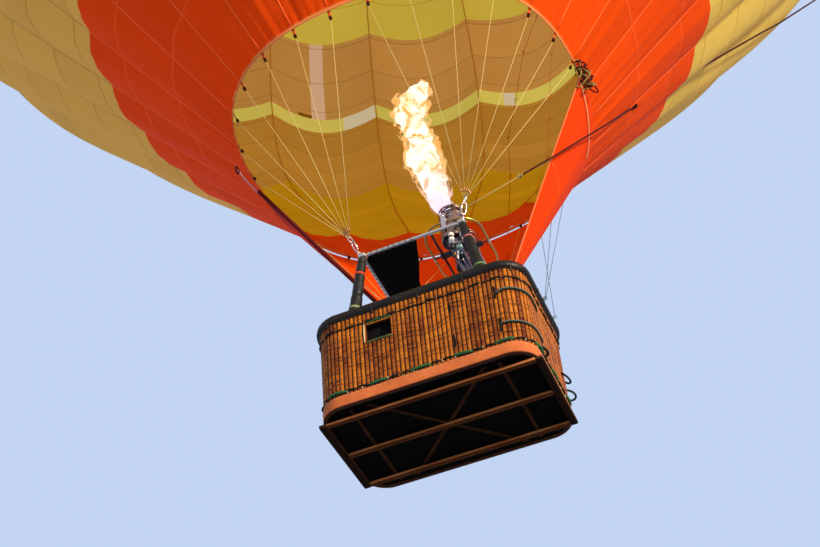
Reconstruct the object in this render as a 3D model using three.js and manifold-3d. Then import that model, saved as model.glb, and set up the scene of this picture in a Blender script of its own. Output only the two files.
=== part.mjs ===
// A hot air balloon in flight: envelope, scoop, flying wires, burner frame and wicker basket.
// Millimetres, +Z up. The origin is under the middle of the basket, at the runners' undersides.
// +X runs along the basket's length and +Y points away from the side with the step hole.
import * as THREE from 'three';
import { mergeVertices } from 'three/addons/utils/BufferGeometryUtils.js';
import Module from 'manifold-3d';

const wasm = await Module();
wasm.setup();

// Gap that touching pieces keep
const GAP = 0.3;

// Envelope: its tapes follow a curve from the mouth to the widest ring and on to the crown
const GORES = 28;
const SHELL = 10;
const MOUTH_Z = 4240;
const MOUTH_R = 2020;
const MOUTH_SLOPE = 0.779;
const MOUTH_REACH = 6040;
const WIDEST_R = 10720;
const WIDEST_H = 14860;
const WIDEST_REACH = 4650;
const CROWN_H = 22400;
const ROUND = 0.5523;
const GORE_STEPS = 3;
const BULGE = 0.2;
const BULGE_GROWS_OVER = 2700;
const CROWN_HOLE_R = 2600;
const CROWN_RING = { r: 170, thick: 14, bite: 12 };
const TAPE_R = 9;
const TAPE_GAP = 4;
// The fans of wires pull the mouth towards a square, less and less above it
const SQUARE = { share: 0.03, fade: 2500 };
// Degrees by which the tapes are turned, at the mouth and from the twist's end upwards
const TURN = { mouth: 0.9, above: 2.3, twist: 5000 };

// Mouth hem and scoop
const HEM_DROP = 50;
const HEM_THICK = 12;
const WIRE_TO_HEM = 4;
const SCOOP_TOP_R = 2028;
const SCOOP_TOP_GAP = 12;
const SCOOP_CORNER_X = 650;
const SCOOP_CORNER_Y = 580;
const SCOOP_CORNER_Z = 2100;
const SCOOP_LOWER_DEPTH = 340;
const SCOOP_LEAN = 0.7;
const SCOOP_COLUMNS = 16;
const SCOOP_ROWS = 5;

// Parachute valve in the crown
const VALVE_R = 2900;
const VALVE_DROP = 120;
const VALVE_RINGS = [0, 900, 1800, VALVE_R];

// Basket
const WALL_L = 2116;
const WALL_W = 1358;
const WALL_THICK = 32;
const CORNER_R = 250;
const WALL_BASE = 34.3;
const WALL_TOP = 1066;
const PAD_R = 58;
const PAD_Z = 1126;
const SKIRT_TOP = 168;
const SKIRT_THICK = 8;
const END_BOARD = { outer: 1095, width: 70, reach: 533 };
const RUNNER = {
  length: 2 * (END_BOARD.outer - END_BOARD.width - GAP), width: 52, height: 34, spacing: 507,
};
const STRAP_THICK = 7;
const STRAP_WIDTH = 36;
const STRAPS = { left: -738, right: 712, halfLength: 600, slantRise: 500, slantRun: 470 };
const FLOOR_THICK = 18;
const CORNER_SEGMENTS = 5;
const STEP_HOLE = { x0: -512, x1: -242, z0: 712, z1: 927 };

// Load frame above the passengers
const FRAME_X = 536;
const FRAME_Y = 540;
const FRAME_Z = 1994;
const FRAME_TUBE = 17;
const FRAME_BEND = 70;
const CROSS_X = 200;
const CROSS_TUBE = 13;
const CORNER_PLATE = { half: 38, shift: 2, low: 26, high: 21 };
const SHIELD = { gap: 2, bite: 42, thick: 6 };
// Free edge of the heat shield: x and, but for its ends, y
const SHIELD_EDGE = { nearX: 40, lowX: -60, lowY: -200, highX: -165, highY: 60, farX: -210 };
const UPRIGHT_R = 46;
const UPRIGHT_FOOT = { x: 702, y: 545, z: 1010 };
const UPRIGHT_HEAD = { shift: 6, drop: 38 };
const SOCKET = { r: 52, low: 760, gap: 14, shift: 6, lugHalf: 40, lugTop: 960, bite: 6 };
const FAN = { x: 625, y: 620, z: 2200 };
const WIRE_R = 4;
const KNOT_R = 38;
const KNOT_BITE = 0.76;
const THIMBLE_R = 1962;
const THIMBLE_Z = 4116;
const LINK = { r: 11, out: 26, low: 29, gap: 2 };

// Burner on its gimbal
const PIVOT = { x: 350, z: 2170 };
const RING = { halfX: 300, halfY: 450, bend: 240, tube: 12 };
const PIN_R = 8;
const PIN_CLEARANCE = 1;
const PIN_PAST = 9;
const STANCHION = { halfWidth: 24, halfThick: 6, above: 26 };
const BUSH = { half: 9, width: 24, height: 20 };
const CRADLE = { halfLength: 230, halfWidth: 34, halfHeight: 16, pinReach: 10 };
const CAN = { r: 140, wall: 4, floor: 60, base: 2100, top: 2520, spread: 200 };
const COIL = { r: 108, tube: 10, turns: [14, 46], leg: 8, legs: 4 };
const BLOCK = { halfX: 55, halfY: 290, low: 1935, high: 2099.7 };
const STEM = { r: 22, length: 90, bite: 5 };
const LEVER = { half: 10, back: 10, reach: 90, top: 70, low: 88 };

// Fuel cylinders against the basket's short ends
const FUEL = { x: 872, y: 190, r: 142, low: 61, high: 930 };
const FUEL_BASE = { inset: 20, rise: 40 };
const FUEL_SHOULDER = { drop: 90, mid: 25, midShare: 0.75 };
const FUEL_VALVE = { r: 45, height: 60 };

const paint = {
  orange: [0xee4413, 0.75, 0],
  gold: [0xd9a51c, 0.75, 0],
  tan: [0xc89a62, 0.75, 0],
  yellow: [0xd9cf4e, 0.75, 0],
  hem: [0xe9e0cd, 0.8, 0],
  wire: [0xd8c79a, 0.5, 0.3],
  steel: [0xc9c4c2, 0.3, 1],
  black: [0x17181b, 0.85, 0],
  darkMetal: [0x2c2b2b, 0.45, 0.8],
  brass: [0xb08d4a, 0.35, 1],
  green: [0x1c2a22, 0.7, 0],
  wicker: [0xb5701f, 0.7, 0],
  rawhide: [0xc9713f, 0.6, 0],
  wood: [0x7a4423, 0.75, 0],
  floor: [0x1b1614, 0.85, 0],
  tank: [0xb9bcc0, 0.35, 0.9],
};

const balloon = new THREE.Group();

function addPiece(name, geometry, colour) {
  const [hex, roughness, metalness] = paint[colour];
  const material = new THREE.MeshStandardMaterial({ color: hex, roughness, metalness });
  const mesh = new THREE.Mesh(geometry, material);
  mesh.name = name;
  balloon.add(mesh);
}

// Booleans: a closed geometry becomes a solid, and a solid becomes a geometry again
function solidOf(geometry) {
  const bare = geometry.clone();
  bare.deleteAttribute('normal');
  bare.deleteAttribute('uv');
  const merged = mergeVertices(bare, 1e-3);
  const mesh = new wasm.Mesh({
    numProp: 3,
    vertProperties: new Float32Array(merged.attributes.position.array),
    triVerts: new Uint32Array(merged.index.array),
  });
  return new wasm.Manifold(mesh);
}

function geometryOf(solid) {
  const mesh = solid.getMesh();
  const geometry = new THREE.BufferGeometry();
  geometry.setAttribute('position', new THREE.BufferAttribute(mesh.vertProperties, 3));
  geometry.setIndex(new THREE.BufferAttribute(mesh.triVerts, 1));
  return geometry;
}

function joined(geometries) {
  const solids = geometries.map(solidOf);
  return geometryOf(solids.reduce((whole, solid) => whole.add(solid)));
}

function cut(geometry, tools) {
  const start = solidOf(geometry);
  return geometryOf(tools.map(solidOf).reduce((rest, tool) => rest.subtract(tool), start));
}

// Simple shapes
function block(x0, x1, y0, y1, z0, z1) {
  const geometry = new THREE.BoxGeometry(x1 - x0, y1 - y0, z1 - z0);
  return geometry.translate((x0 + x1) / 2, (y0 + y1) / 2, (z0 + z1) / 2);
}

function bar(from, to, radius, sides) {
  const a = new THREE.Vector3(...from);
  const b = new THREE.Vector3(...to);
  const along = b.clone().sub(a);
  const geometry = new THREE.CylinderGeometry(radius, radius, along.length(), sides);
  const turn = new THREE.Quaternion();
  turn.setFromUnitVectors(new THREE.Vector3(0, 1, 0), along.normalize());
  geometry.applyQuaternion(turn);
  const middle = a.add(b).multiplyScalar(0.5);
  return geometry.translate(middle.x, middle.y, middle.z);
}

function roundedOutline(halfX, halfY, radius, Kind) {
  const outline = new Kind();
  outline.moveTo(halfX - radius, -halfY);
  outline.absarc(halfX - radius, -halfY + radius, radius, -Math.PI / 2, 0);
  outline.absarc(halfX - radius, halfY - radius, radius, 0, Math.PI / 2);
  outline.absarc(-halfX + radius, halfY - radius, radius, Math.PI / 2, Math.PI);
  outline.absarc(-halfX + radius, -halfY + radius, radius, Math.PI, 1.5 * Math.PI);
  outline.closePath();
  return outline;
}

function extruded(shape, low, high) {
  const settings = { depth: high - low, bevelEnabled: false, curveSegments: CORNER_SEGMENTS };
  return new THREE.ExtrudeGeometry(shape, settings).translate(0, 0, low);
}

// A band that stands on the basket's rounded outline
function wallBand(outset, thick, low, high) {
  const halfX = WALL_L / 2 + outset;
  const halfY = WALL_W / 2 + outset;
  const radius = CORNER_R + outset;
  const shape = roundedOutline(halfX, halfY, radius, THREE.Shape);
  shape.holes.push(roundedOutline(halfX - thick, halfY - thick, radius - thick, THREE.Path));
  return extruded(shape, low, high);
}

// A closed loop of tube on a rounded rectangle
function tubeLoop(centre, halfX, halfY, bend, radius, steps, sides) {
  const corners = [];
  const perCorner = steps / 4;
  // Columns: sign of x, sign of y, degrees at which the corner's arc starts
  const places = [[1, -1, -90], [1, 1, 0], [-1, 1, 90], [-1, -1, 180]];
  for (const [signX, signY, startDegrees] of places) {
    for (let i = 0; i < perCorner; i += 1) {
      const angle = THREE.MathUtils.degToRad(startDegrees + 90 * i / (perCorner - 1));
      const x = signX * (halfX - bend) + bend * Math.cos(angle);
      const y = signY * (halfY - bend) + bend * Math.sin(angle);
      corners.push(new THREE.Vector2(x, y));
    }
  }
  const count = corners.length;
  const positions = [];
  const index = [];
  corners.forEach((corner, i) => {
    const before = corners[(i + count - 1) % count];
    const after = corners[(i + 1) % count];
    const arrive = corner.clone().sub(before).normalize();
    const leave = after.clone().sub(corner).normalize();
    const ahead = arrive.clone().add(leave).normalize();
    const stretch = 1 / ahead.dot(leave);
    for (let j = 0; j < sides; j += 1) {
      const angle = 2 * Math.PI * (j + 0.5) / sides;
      const out = radius * Math.cos(angle) * stretch;
      const x = centre[0] + corner.x + ahead.y * out;
      const y = centre[1] + corner.y - ahead.x * out;
      positions.push(x, y, centre[2] + radius * Math.sin(angle));
      const a = i * sides + j;
      const b = i * sides + (j + 1) % sides;
      const c = ((i + 1) % count) * sides + j;
      const d = ((i + 1) % count) * sides + (j + 1) % sides;
      index.push(a, c, b, b, c, d);
    }
  });
  return gridGeometry(positions, index);
}

function gridGeometry(positions, index) {
  const geometry = new THREE.BufferGeometry();
  geometry.setAttribute('position', new THREE.Float32BufferAttribute(positions, 3));
  geometry.setIndex(index);
  return geometry;
}

function lathe(points, segments) {
  const profile = points.map(([r, z]) => new THREE.Vector2(r, z));
  return new THREE.LatheGeometry(profile, segments).rotateX(Math.PI / 2);
}

// Envelope
const lowerCurve = new THREE.CubicBezierCurve(
  new THREE.Vector2(MOUTH_R, 0),
  new THREE.Vector2(MOUTH_R + MOUTH_SLOPE * MOUTH_REACH, MOUTH_REACH),
  new THREE.Vector2(WIDEST_R, WIDEST_H - WIDEST_REACH),
  new THREE.Vector2(WIDEST_R, WIDEST_H));
const upperCurve = new THREE.CubicBezierCurve(
  new THREE.Vector2(WIDEST_R, WIDEST_H),
  new THREE.Vector2(WIDEST_R, WIDEST_H + ROUND * (CROWN_H - WIDEST_H)),
  new THREE.Vector2(ROUND * WIDEST_R, CROWN_H),
  new THREE.Vector2(0, CROWN_H));

// Place 0 is the mouth, 1 the widest ring and 2 the crown
function tapePoint(place) {
  const curve = place <= 1 ? lowerCurve : upperCurve;
  const t = place <= 1 ? place : place - 1;
  const point = curve.getPoint(t);
  const tangent = curve.getTangent(t);
  return { r: point.x, h: point.y, normalR: tangent.y, normalH: -tangent.x };
}

function placeWhere(test) {
  let low = 0;
  let high = 2;
  for (let i = 0; i < 50; i += 1) {
    const middle = (low + high) / 2;
    if (test(tapePoint(middle))) {
      high = middle;
    } else {
      low = middle;
    }
  }
  return (low + high) / 2;
}

const placeAtHeight = (height) => placeWhere((point) => point.h >= height);
const crownHolePlace = placeWhere((point) => point.h > WIDEST_H && point.r <= CROWN_HOLE_R);

function squared(angle, height) {
  return 1 + SQUARE.share * Math.cos(4 * angle - Math.PI) * Math.exp(-height / SQUARE.fade);
}

function tapeAngle(k, height) {
  const share = Math.min(height / TURN.twist, 1);
  const turn = TURN.mouth + (TURN.above - TURN.mouth) * share;
  return 2 * Math.PI * (k + 0.5) / GORES + THREE.MathUtils.degToRad(turn);
}

// One horizontal colour zone of the envelope, its gores swelling out between the tapes
function envelopeZone(startPlace, endPlace, rows) {
  const columns = GORES * GORE_STEPS;
  const positions = [];
  const index = [];
  for (let i = 0; i <= rows; i += 1) {
    const point = tapePoint(startPlace + (endPlace - startPlace) * i / rows);
    const goreWidth = 2 * Math.PI * point.r / GORES;
    const grown = point.h / (point.h + BULGE_GROWS_OVER);
    for (let j = 0; j < columns; j += 1) {
      const angle = tapeAngle(j / GORE_STEPS, point.h);
      const swell = Math.sin(Math.PI * (j % GORE_STEPS) / GORE_STEPS) * goreWidth * grown;
      const r = point.r * squared(angle, point.h) + BULGE * swell * point.normalR;
      const z = MOUTH_Z + point.h + BULGE * swell * point.normalH;
      const innerR = r - SHELL * point.normalR;
      const innerZ = z - SHELL * point.normalH;
      positions.push(r * Math.cos(angle), r * Math.sin(angle), z);
      positions.push(innerR * Math.cos(angle), innerR * Math.sin(angle), innerZ);
    }
  }
  const at = (i, j, side) => 2 * (i * columns + (j % columns)) + side;
  for (let j = 0; j < columns; j += 1) {
    for (let i = 0; i < rows; i += 1) {
      index.push(at(i, j, 0), at(i, j + 1, 0), at(i + 1, j, 0));
      index.push(at(i, j + 1, 0), at(i + 1, j + 1, 0), at(i + 1, j, 0));
      index.push(at(i, j, 1), at(i + 1, j, 1), at(i, j + 1, 1));
      index.push(at(i, j + 1, 1), at(i + 1, j, 1), at(i + 1, j + 1, 1));
    }
    index.push(at(0, j, 0), at(0, j, 1), at(0, j + 1, 0));
    index.push(at(0, j + 1, 0), at(0, j, 1), at(0, j + 1, 1));
    index.push(at(rows, j, 0), at(rows, j + 1, 0), at(rows, j, 1));
    index.push(at(rows, j + 1, 0), at(rows, j + 1, 1), at(rows, j, 1));
  }
  return gridGeometry(positions, index);
}

// Columns: name, height of the top edge over the mouth, rows of facets, colour
const zones = [
  ['envelope_orange_zone', 2320, 2, 'orange'],
  ['envelope_gold_zone', 8500, 2, 'gold'],
  ['envelope_lower_tan_zone', 12930, 2, 'tan'],
  ['envelope_yellow_stripe', 13520, 1, 'yellow'],
  ['envelope_upper_tan_zone', 16160, 2, 'tan'],
  ['envelope_shoulder_zone', 19600, 2, 'yellow'],
  ['envelope_crown_zone', CROWN_H, 2, 'yellow'],
];
let zoneStart = GAP;
for (const [name, top, rows, colour] of zones) {
  const endPlace = top === CROWN_H ? crownHolePlace : placeAtHeight(top - GAP);
  addPiece(name, envelopeZone(placeAtHeight(zoneStart), endPlace, rows), colour);
  zoneStart = top;
}

const hemLow = MOUTH_Z - HEM_DROP;
function mouthHem() {
  const geometry = lathe([
    [MOUTH_R - HEM_THICK, hemLow],
    [MOUTH_R, hemLow],
    [MOUTH_R, MOUTH_Z - GAP],
    [MOUTH_R - HEM_THICK, MOUTH_Z - GAP],
    [MOUTH_R - HEM_THICK, hemLow],
  ], GORES);
  const place = geometry.attributes.position;
  for (let i = 0; i < place.count; i += 1) {
    const [x, y] = [place.getX(i), place.getY(i)];
    const scale = squared(Math.atan2(y, x), 0);
    place.setXY(i, x * scale, y * scale);
  }
  return geometry;
}
addPiece('mouth_hem', mouthHem(), 'hem');

// Crown: tapes across the opening, held together by a ring
function crownHeight(radius) {
  return MOUTH_Z + tapePoint(placeWhere((p) => p.h > WIDEST_H && p.r <= radius)).h;
}

function crownTapes() {
  const ring = new THREE.CylinderGeometry(CROWN_RING.r, CROWN_RING.r, CROWN_RING.thick, GORES);
  ring.rotateX(Math.PI / 2).translate(0, 0, crownHeight(CROWN_RING.r) - SHELL / 2);
  const pieces = [ring];
  for (let k = 0; k < GORES; k += 1) {
    const angle = tapeAngle(k, CROWN_H);
    const [inner, outer] = [CROWN_RING.r - CROWN_RING.bite, CROWN_HOLE_R - TAPE_GAP].map((r) => [
      r * Math.cos(angle), r * Math.sin(angle), crownHeight(r) - SHELL / 2]);
    pieces.push(bar(inner, outer, TAPE_R, 4));
  }
  return joined(pieces);
}
addPiece('crown_ring_tapes', crownTapes(), 'hem');

function parachuteValve() {
  const top = VALVE_RINGS.map((r) => [r, crownHeight(Math.max(r, 1)) - VALVE_DROP]);
  const under = top.map(([r, z]) => [r, z - SHELL]);
  return lathe([...under, ...top.reverse()], GORES);
}
addPiece('parachute_valve', parachuteValve(), 'orange');

// Scoop: hung from the far half of the mouth, its lower corners drawn in to the load frame
function scoop() {
  const columns = SCOOP_COLUMNS;
  const rows = SCOOP_ROWS;
  const positions = [];
  const index = [];
  for (let i = 0; i <= rows; i += 1) {
    const down = i / rows;
    for (let j = 0; j <= columns; j += 1) {
      const angle = Math.PI * j / columns;
      const topR = SCOOP_TOP_R * squared(angle, 0);
      const top = [topR * Math.cos(angle), topR * Math.sin(angle), hemLow - SCOOP_TOP_GAP];
      const low = [
        SCOOP_CORNER_X * Math.cos(angle),
        SCOOP_CORNER_Y + SCOOP_LOWER_DEPTH * Math.sin(angle),
        SCOOP_CORNER_Z];
      const out = [Math.cos(angle) * SCOOP_LEAN, Math.sin(angle) * SCOOP_LEAN, -SCOOP_LEAN];
      const place = top.map((value, axis) => value + (low[axis] - value) * down);
      positions.push(...place);
      positions.push(...place.map((value, axis) => value - SHELL * out[axis]));
    }
  }
  const at = (i, j, side) => 2 * (i * (columns + 1) + j) + side;
  for (let i = 0; i < rows; i += 1) {
    for (let j = 0; j < columns; j += 1) {
      index.push(at(i, j, 0), at(i + 1, j, 0), at(i, j + 1, 0));
      index.push(at(i, j + 1, 0), at(i + 1, j, 0), at(i + 1, j + 1, 0));
      index.push(at(i, j, 1), at(i, j + 1, 1), at(i + 1, j, 1));
      index.push(at(i, j + 1, 1), at(i + 1, j + 1, 1), at(i + 1, j, 1));
    }
  }
  for (let j = 0; j < columns; j += 1) {
    index.push(at(0, j, 0), at(0, j + 1, 0), at(0, j, 1));
    index.push(at(0, j + 1, 0), at(0, j + 1, 1), at(0, j, 1));
    index.push(at(rows, j, 0), at(rows, j, 1), at(rows, j + 1, 0));
    index.push(at(rows, j + 1, 0), at(rows, j, 1), at(rows, j + 1, 1));
  }
  for (let i = 0; i < rows; i += 1) {
    index.push(at(i, 0, 0), at(i, 0, 1), at(i + 1, 0, 0));
    index.push(at(i + 1, 0, 0), at(i, 0, 1), at(i + 1, 0, 1));
    index.push(at(i, columns, 0), at(i + 1, columns, 0), at(i, columns, 1));
    index.push(at(i + 1, columns, 0), at(i + 1, columns, 1), at(i, columns, 1));
  }
  return gridGeometry(positions, index);
}
addPiece('scoop', scoop(), 'orange');

// Rigging: seven wires run from each corner of the load frame to thimbles under the mouth
// Columns: name, sign of x, sign of y
const corners = [
  ['near_left', -1, -1],
  ['near_right', 1, -1],
  ['far_right', 1, 1],
  ['far_left', -1, 1],
];

function wireFan(signX, signY) {
  const gather = [signX * FAN.x, signY * FAN.y, FAN.z];
  const centre = new THREE.Vector3(...gather);
  const pieces = [new THREE.IcosahedronGeometry(KNOT_R, 0).translate(...gather)];
  for (let k = 0; k < GORES; k += 1) {
    const angle = tapeAngle(k, 0);
    const x = Math.cos(angle) * squared(angle, 0);
    const y = Math.sin(angle) * squared(angle, 0);
    if (Math.sign(x) === signX && Math.sign(y) === signY) {
      const thimble = [THIMBLE_R * x, THIMBLE_R * y, THIMBLE_Z];
      const away = new THREE.Vector3(...thimble).sub(centre).setLength(KNOT_R * KNOT_BITE);
      const start = away.add(centre).toArray();
      const hemR = MOUTH_R - HEM_THICK - WIRE_R;
      pieces.push(bar(start, thimble, WIRE_R, 4));
      pieces.push(bar(thimble, [hemR * x, hemR * y, hemLow - WIRE_TO_HEM], WIRE_R + 1, 4));
    }
  }
  return joined(pieces);
}

for (const [name, signX, signY] of corners) {
  addPiece(`wire_fan_${name}`, wireFan(signX, signY), 'wire');
  const foot = new THREE.Vector3(
    signX * (FRAME_X + LINK.out), signY * (FRAME_Y + LINK.out), FRAME_Z + LINK.low);
  const along = new THREE.Vector3(signX * FAN.x, signY * FAN.y, FAN.z).sub(foot);
  const share = 1 - (KNOT_R + LINK.gap) / along.length();
  const head = along.multiplyScalar(share).add(foot);
  addPiece(`corner_link_${name}`, bar(foot.toArray(), head.toArray(), LINK.r, 8), 'steel');
}

// Load frame with its corner plates
function loadFrame() {
  const loop = tubeLoop([0, 0, FRAME_Z], FRAME_X, FRAME_Y, FRAME_BEND, FRAME_TUBE, 16, 8);
  const cross = bar([CROSS_X, -FRAME_Y, FRAME_Z], [CROSS_X, FRAME_Y, FRAME_Z], CROSS_TUBE, 8);
  const { half, shift, low, high } = CORNER_PLATE;
  const plates = corners.map(([, signX, signY]) => {
    const x = signX * (FRAME_X + shift);
    const y = signY * (FRAME_Y + shift);
    return block(x - half, x + half, y - half, y + half, FRAME_Z - low, FRAME_Z + high);
  });
  return joined([loop, cross, ...plates]);
}
addPiece('load_frame', loadFrame(), 'steel');

// Black heat shield laced into the bay beside the burner
function heatShield() {
  const edge = FRAME_X - FRAME_TUBE - SHIELD.gap;
  const side = FRAME_Y - FRAME_TUBE - SHIELD.gap;
  const { bite, thick } = SHIELD;
  const shape = new THREE.Shape();
  shape.moveTo(-edge, -side + bite);
  shape.lineTo(-edge + bite, -side);
  shape.lineTo(SHIELD_EDGE.nearX, -side);
  shape.lineTo(SHIELD_EDGE.lowX, SHIELD_EDGE.lowY);
  shape.lineTo(SHIELD_EDGE.highX, SHIELD_EDGE.highY);
  shape.lineTo(SHIELD_EDGE.farX, side);
  shape.lineTo(-edge + bite, side);
  shape.lineTo(-edge, side - bite);
  shape.closePath();
  return extruded(shape, FRAME_Z - thick / 2, FRAME_Z + thick / 2);
}
addPiece('heat_shield', heatShield(), 'black');

for (const [name, signX, signY] of corners) {
  const foot = [signX * UPRIGHT_FOOT.x, signY * UPRIGHT_FOOT.y, UPRIGHT_FOOT.z];
  const head = [
    signX * (FRAME_X + UPRIGHT_HEAD.shift), signY * FRAME_Y, FRAME_Z - UPRIGHT_HEAD.drop];
  addPiece(`upright_${name}`, bar(foot, head, UPRIGHT_R, 12), 'green');
}

// Burner: stanchions, gimbal ring, cradle and two burner cans
for (const [name, signY] of [['near', -1], ['far', 1]]) {
  const y = signY * FRAME_Y;
  const { halfWidth, halfThick, above } = STANCHION;
  const plate = block(PIVOT.x - halfWidth, PIVOT.x + halfWidth, y - halfThick, y + halfThick,
    FRAME_Z + FRAME_TUBE + GAP, PIVOT.z + above);
  const hole = bar([PIVOT.x, y - 2 * halfThick, PIVOT.z], [PIVOT.x, y + 2 * halfThick, PIVOT.z],
    PIN_R + PIN_CLEARANCE, 12);
  addPiece(`gimbal_stanchion_${name}`, cut(plate, [hole]), 'steel');
}

function gimbalRing() {
  const loop = tubeLoop([PIVOT.x, 0, PIVOT.z], RING.halfX, RING.halfY, RING.bend, RING.tube, 16, 6);
  const pieces = [loop];
  for (const sign of [-1, 1]) {
    const end = sign * RING.halfY;
    const tip = sign * (FRAME_Y + PIN_PAST);
    pieces.push(bar([PIVOT.x, end, PIVOT.z], [PIVOT.x, tip, PIVOT.z], PIN_R, 10));
    const side = PIVOT.x + sign * RING.halfX;
    pieces.push(block(side - BUSH.half, side + BUSH.half, -BUSH.width, BUSH.width,
      PIVOT.z - BUSH.height, PIVOT.z + BUSH.height));
  }
  const past = RING.halfX + 2 * RING.tube;
  const hole = bar([PIVOT.x - past, 0, PIVOT.z], [PIVOT.x + past, 0, PIVOT.z],
    PIN_R + PIN_CLEARANCE, 12);
  return cut(joined(pieces), [hole]);
}
addPiece('gimbal_ring', gimbalRing(), 'steel');

function burnerCradle() {
  const { halfLength, halfWidth, halfHeight, pinReach } = CRADLE;
  const reach = RING.halfX + pinReach;
  return joined([
    bar([PIVOT.x - reach, 0, PIVOT.z], [PIVOT.x + reach, 0, PIVOT.z], PIN_R, 10),
    block(PIVOT.x - halfLength, PIVOT.x + halfLength, -halfWidth, halfWidth,
      PIVOT.z - halfHeight, PIVOT.z + halfHeight),
    block(PIVOT.x - halfWidth, PIVOT.x + halfWidth, -halfWidth, halfWidth,
      BLOCK.high + GAP, PIVOT.z),
  ]);
}
addPiece('burner_cradle', burnerCradle(), 'darkMetal');

function burnerCan(y) {
  const inner = CAN.r - CAN.wall;
  const shell = lathe([
    [0, CAN.base],
    [CAN.r, CAN.base],
    [CAN.r, CAN.top],
    [inner, CAN.top],
    [inner, CAN.base + CAN.floor],
    [0, CAN.base + CAN.floor],
  ], 20);
  return shell.translate(PIVOT.x, y, 0);
}

function burnerCoil(y) {
  const pieces = [];
  for (const rise of COIL.turns) {
    const turn = new THREE.TorusGeometry(COIL.r, COIL.tube, 5, 12);
    pieces.push(turn.translate(PIVOT.x, y, CAN.top + rise));
  }
  for (let k = 0; k < COIL.legs; k += 1) {
    const angle = 2 * Math.PI * (k + 0.5) / COIL.legs;
    const legX = PIVOT.x + COIL.r * Math.cos(angle);
    const legY = y + COIL.r * Math.sin(angle);
    const foot = [legX, legY, CAN.base + CAN.floor + GAP];
    const head = [legX, legY, CAN.top + Math.max(...COIL.turns)];
    pieces.push(bar(foot, head, COIL.leg, 6));
  }
  return joined(pieces);
}

for (const [name, signY] of [['near', -1], ['far', 1]]) {
  addPiece(`burner_can_${name}`, burnerCan(signY * CAN.spread), 'steel');
  addPiece(`burner_coil_${name}`, burnerCoil(signY * CAN.spread), 'darkMetal');
}

function valveBlock() {
  const x0 = PIVOT.x - BLOCK.halfX;
  const x1 = PIVOT.x + BLOCK.halfX;
  const pieces = [block(x0, x1, -BLOCK.halfY, BLOCK.halfY, BLOCK.low, BLOCK.high)];
  for (const y of [-CAN.spread, CAN.spread]) {
    const stemTop = [PIVOT.x, y, BLOCK.low + STEM.bite];
    pieces.push(bar(stemTop, [PIVOT.x, y, BLOCK.low - STEM.length], STEM.r, 8));
    pieces.push(block(PIVOT.x - LEVER.half, PIVOT.x + LEVER.half, y - LEVER.reach,
      y + LEVER.back, BLOCK.low - LEVER.low, BLOCK.low - LEVER.top));
  }
  return joined(pieces);
}
addPiece('burner_valve_block', valveBlock(), 'brass');

// Basket
function basketWall() {
  const shell = wallBand(0, WALL_THICK, WALL_BASE, WALL_TOP);
  const { x0, x1, z0, z1 } = STEP_HOLE;
  const hole = block(x0, x1, -WALL_W / 2 - WALL_THICK, -WALL_W / 2 + 2 * WALL_THICK, z0, z1);
  const open = cut(shell, [hole]);
  const sockets = corners.flatMap(([, signX, signY]) => {
    const x = signX * (UPRIGHT_FOOT.x + SOCKET.shift);
    const y = signY * UPRIGHT_FOOT.y;
    const post = bar([x, y, SOCKET.low], [x, y, UPRIGHT_FOOT.z - SOCKET.gap], SOCKET.r, 10);
    const far = signY * (WALL_W / 2 - WALL_THICK + SOCKET.bite);
    const lug = block(x - SOCKET.lugHalf, x + SOCKET.lugHalf,
      Math.min(y, far), Math.max(y, far), SOCKET.low, SOCKET.lugTop);
    return [post, lug];
  });
  return joined([open, ...sockets]);
}
addPiece('basket_wall', basketWall(), 'wicker');

const padInset = WALL_THICK / 2;
addPiece('rim_pad', tubeLoop([0, 0, PAD_Z], WALL_L / 2 - padInset, WALL_W / 2 - padInset,
  CORNER_R - padInset, PAD_R, 20, 8), 'green');
addPiece('leather_skirt', wallBand(SKIRT_THICK + GAP, SKIRT_THICK, WALL_BASE, SKIRT_TOP), 'rawhide');

function basketFloor() {
  const inset = WALL_THICK + GAP;
  const shape = roundedOutline(WALL_L / 2 - inset, WALL_W / 2 - inset, CORNER_R - inset, THREE.Shape);
  const low = RUNNER.height + 2 * GAP + STRAP_THICK;
  return extruded(shape, low, low + FLOOR_THICK);
}
addPiece('basket_floor', basketFloor(), 'floor');

function floorStraps() {
  const low = RUNNER.height + GAP;
  const high = low + STRAP_THICK;
  const { left, right, halfLength, slantRise, slantRun } = STRAPS;
  const half = STRAP_WIDTH / 2;
  const across = [left, right].map((x) => (
    block(x - half, x + half, -halfLength, halfLength, low, high)));
  const underside = block(left, right, -halfLength, halfLength, low, high);
  const slanted = [-1, 1].map((sign) => {
    const strap = block(-WALL_L / 2, WALL_L / 2, -half, half, low, high);
    strap.rotateZ(sign * Math.atan2(slantRise, slantRun));
    return geometryOf(solidOf(strap).intersect(solidOf(underside)));
  });
  const middle = block(left, right, -half, half, low, high);
  return joined([...across, ...slanted, middle]);
}
addPiece('floor_straps', floorStraps(), 'wood');

for (const [name, y] of [['near', -1], ['middle', 0], ['far', 1]]) {
  const centre = y * RUNNER.spacing;
  addPiece(`runner_${name}`, block(-RUNNER.length / 2, RUNNER.length / 2,
    centre - RUNNER.width / 2, centre + RUNNER.width / 2, 0, RUNNER.height), 'wood');
}

// A board across the runners' ends on either side makes them into one skid frame
for (const [name, sign] of [['left', -1], ['right', 1]]) {
  const { outer, width, reach } = END_BOARD;
  const middle = sign * (outer - width / 2);
  addPiece(`end_board_${name}`, block(middle - width / 2, middle + width / 2,
    -reach, reach, 0, RUNNER.height), 'wood');
}

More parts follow.
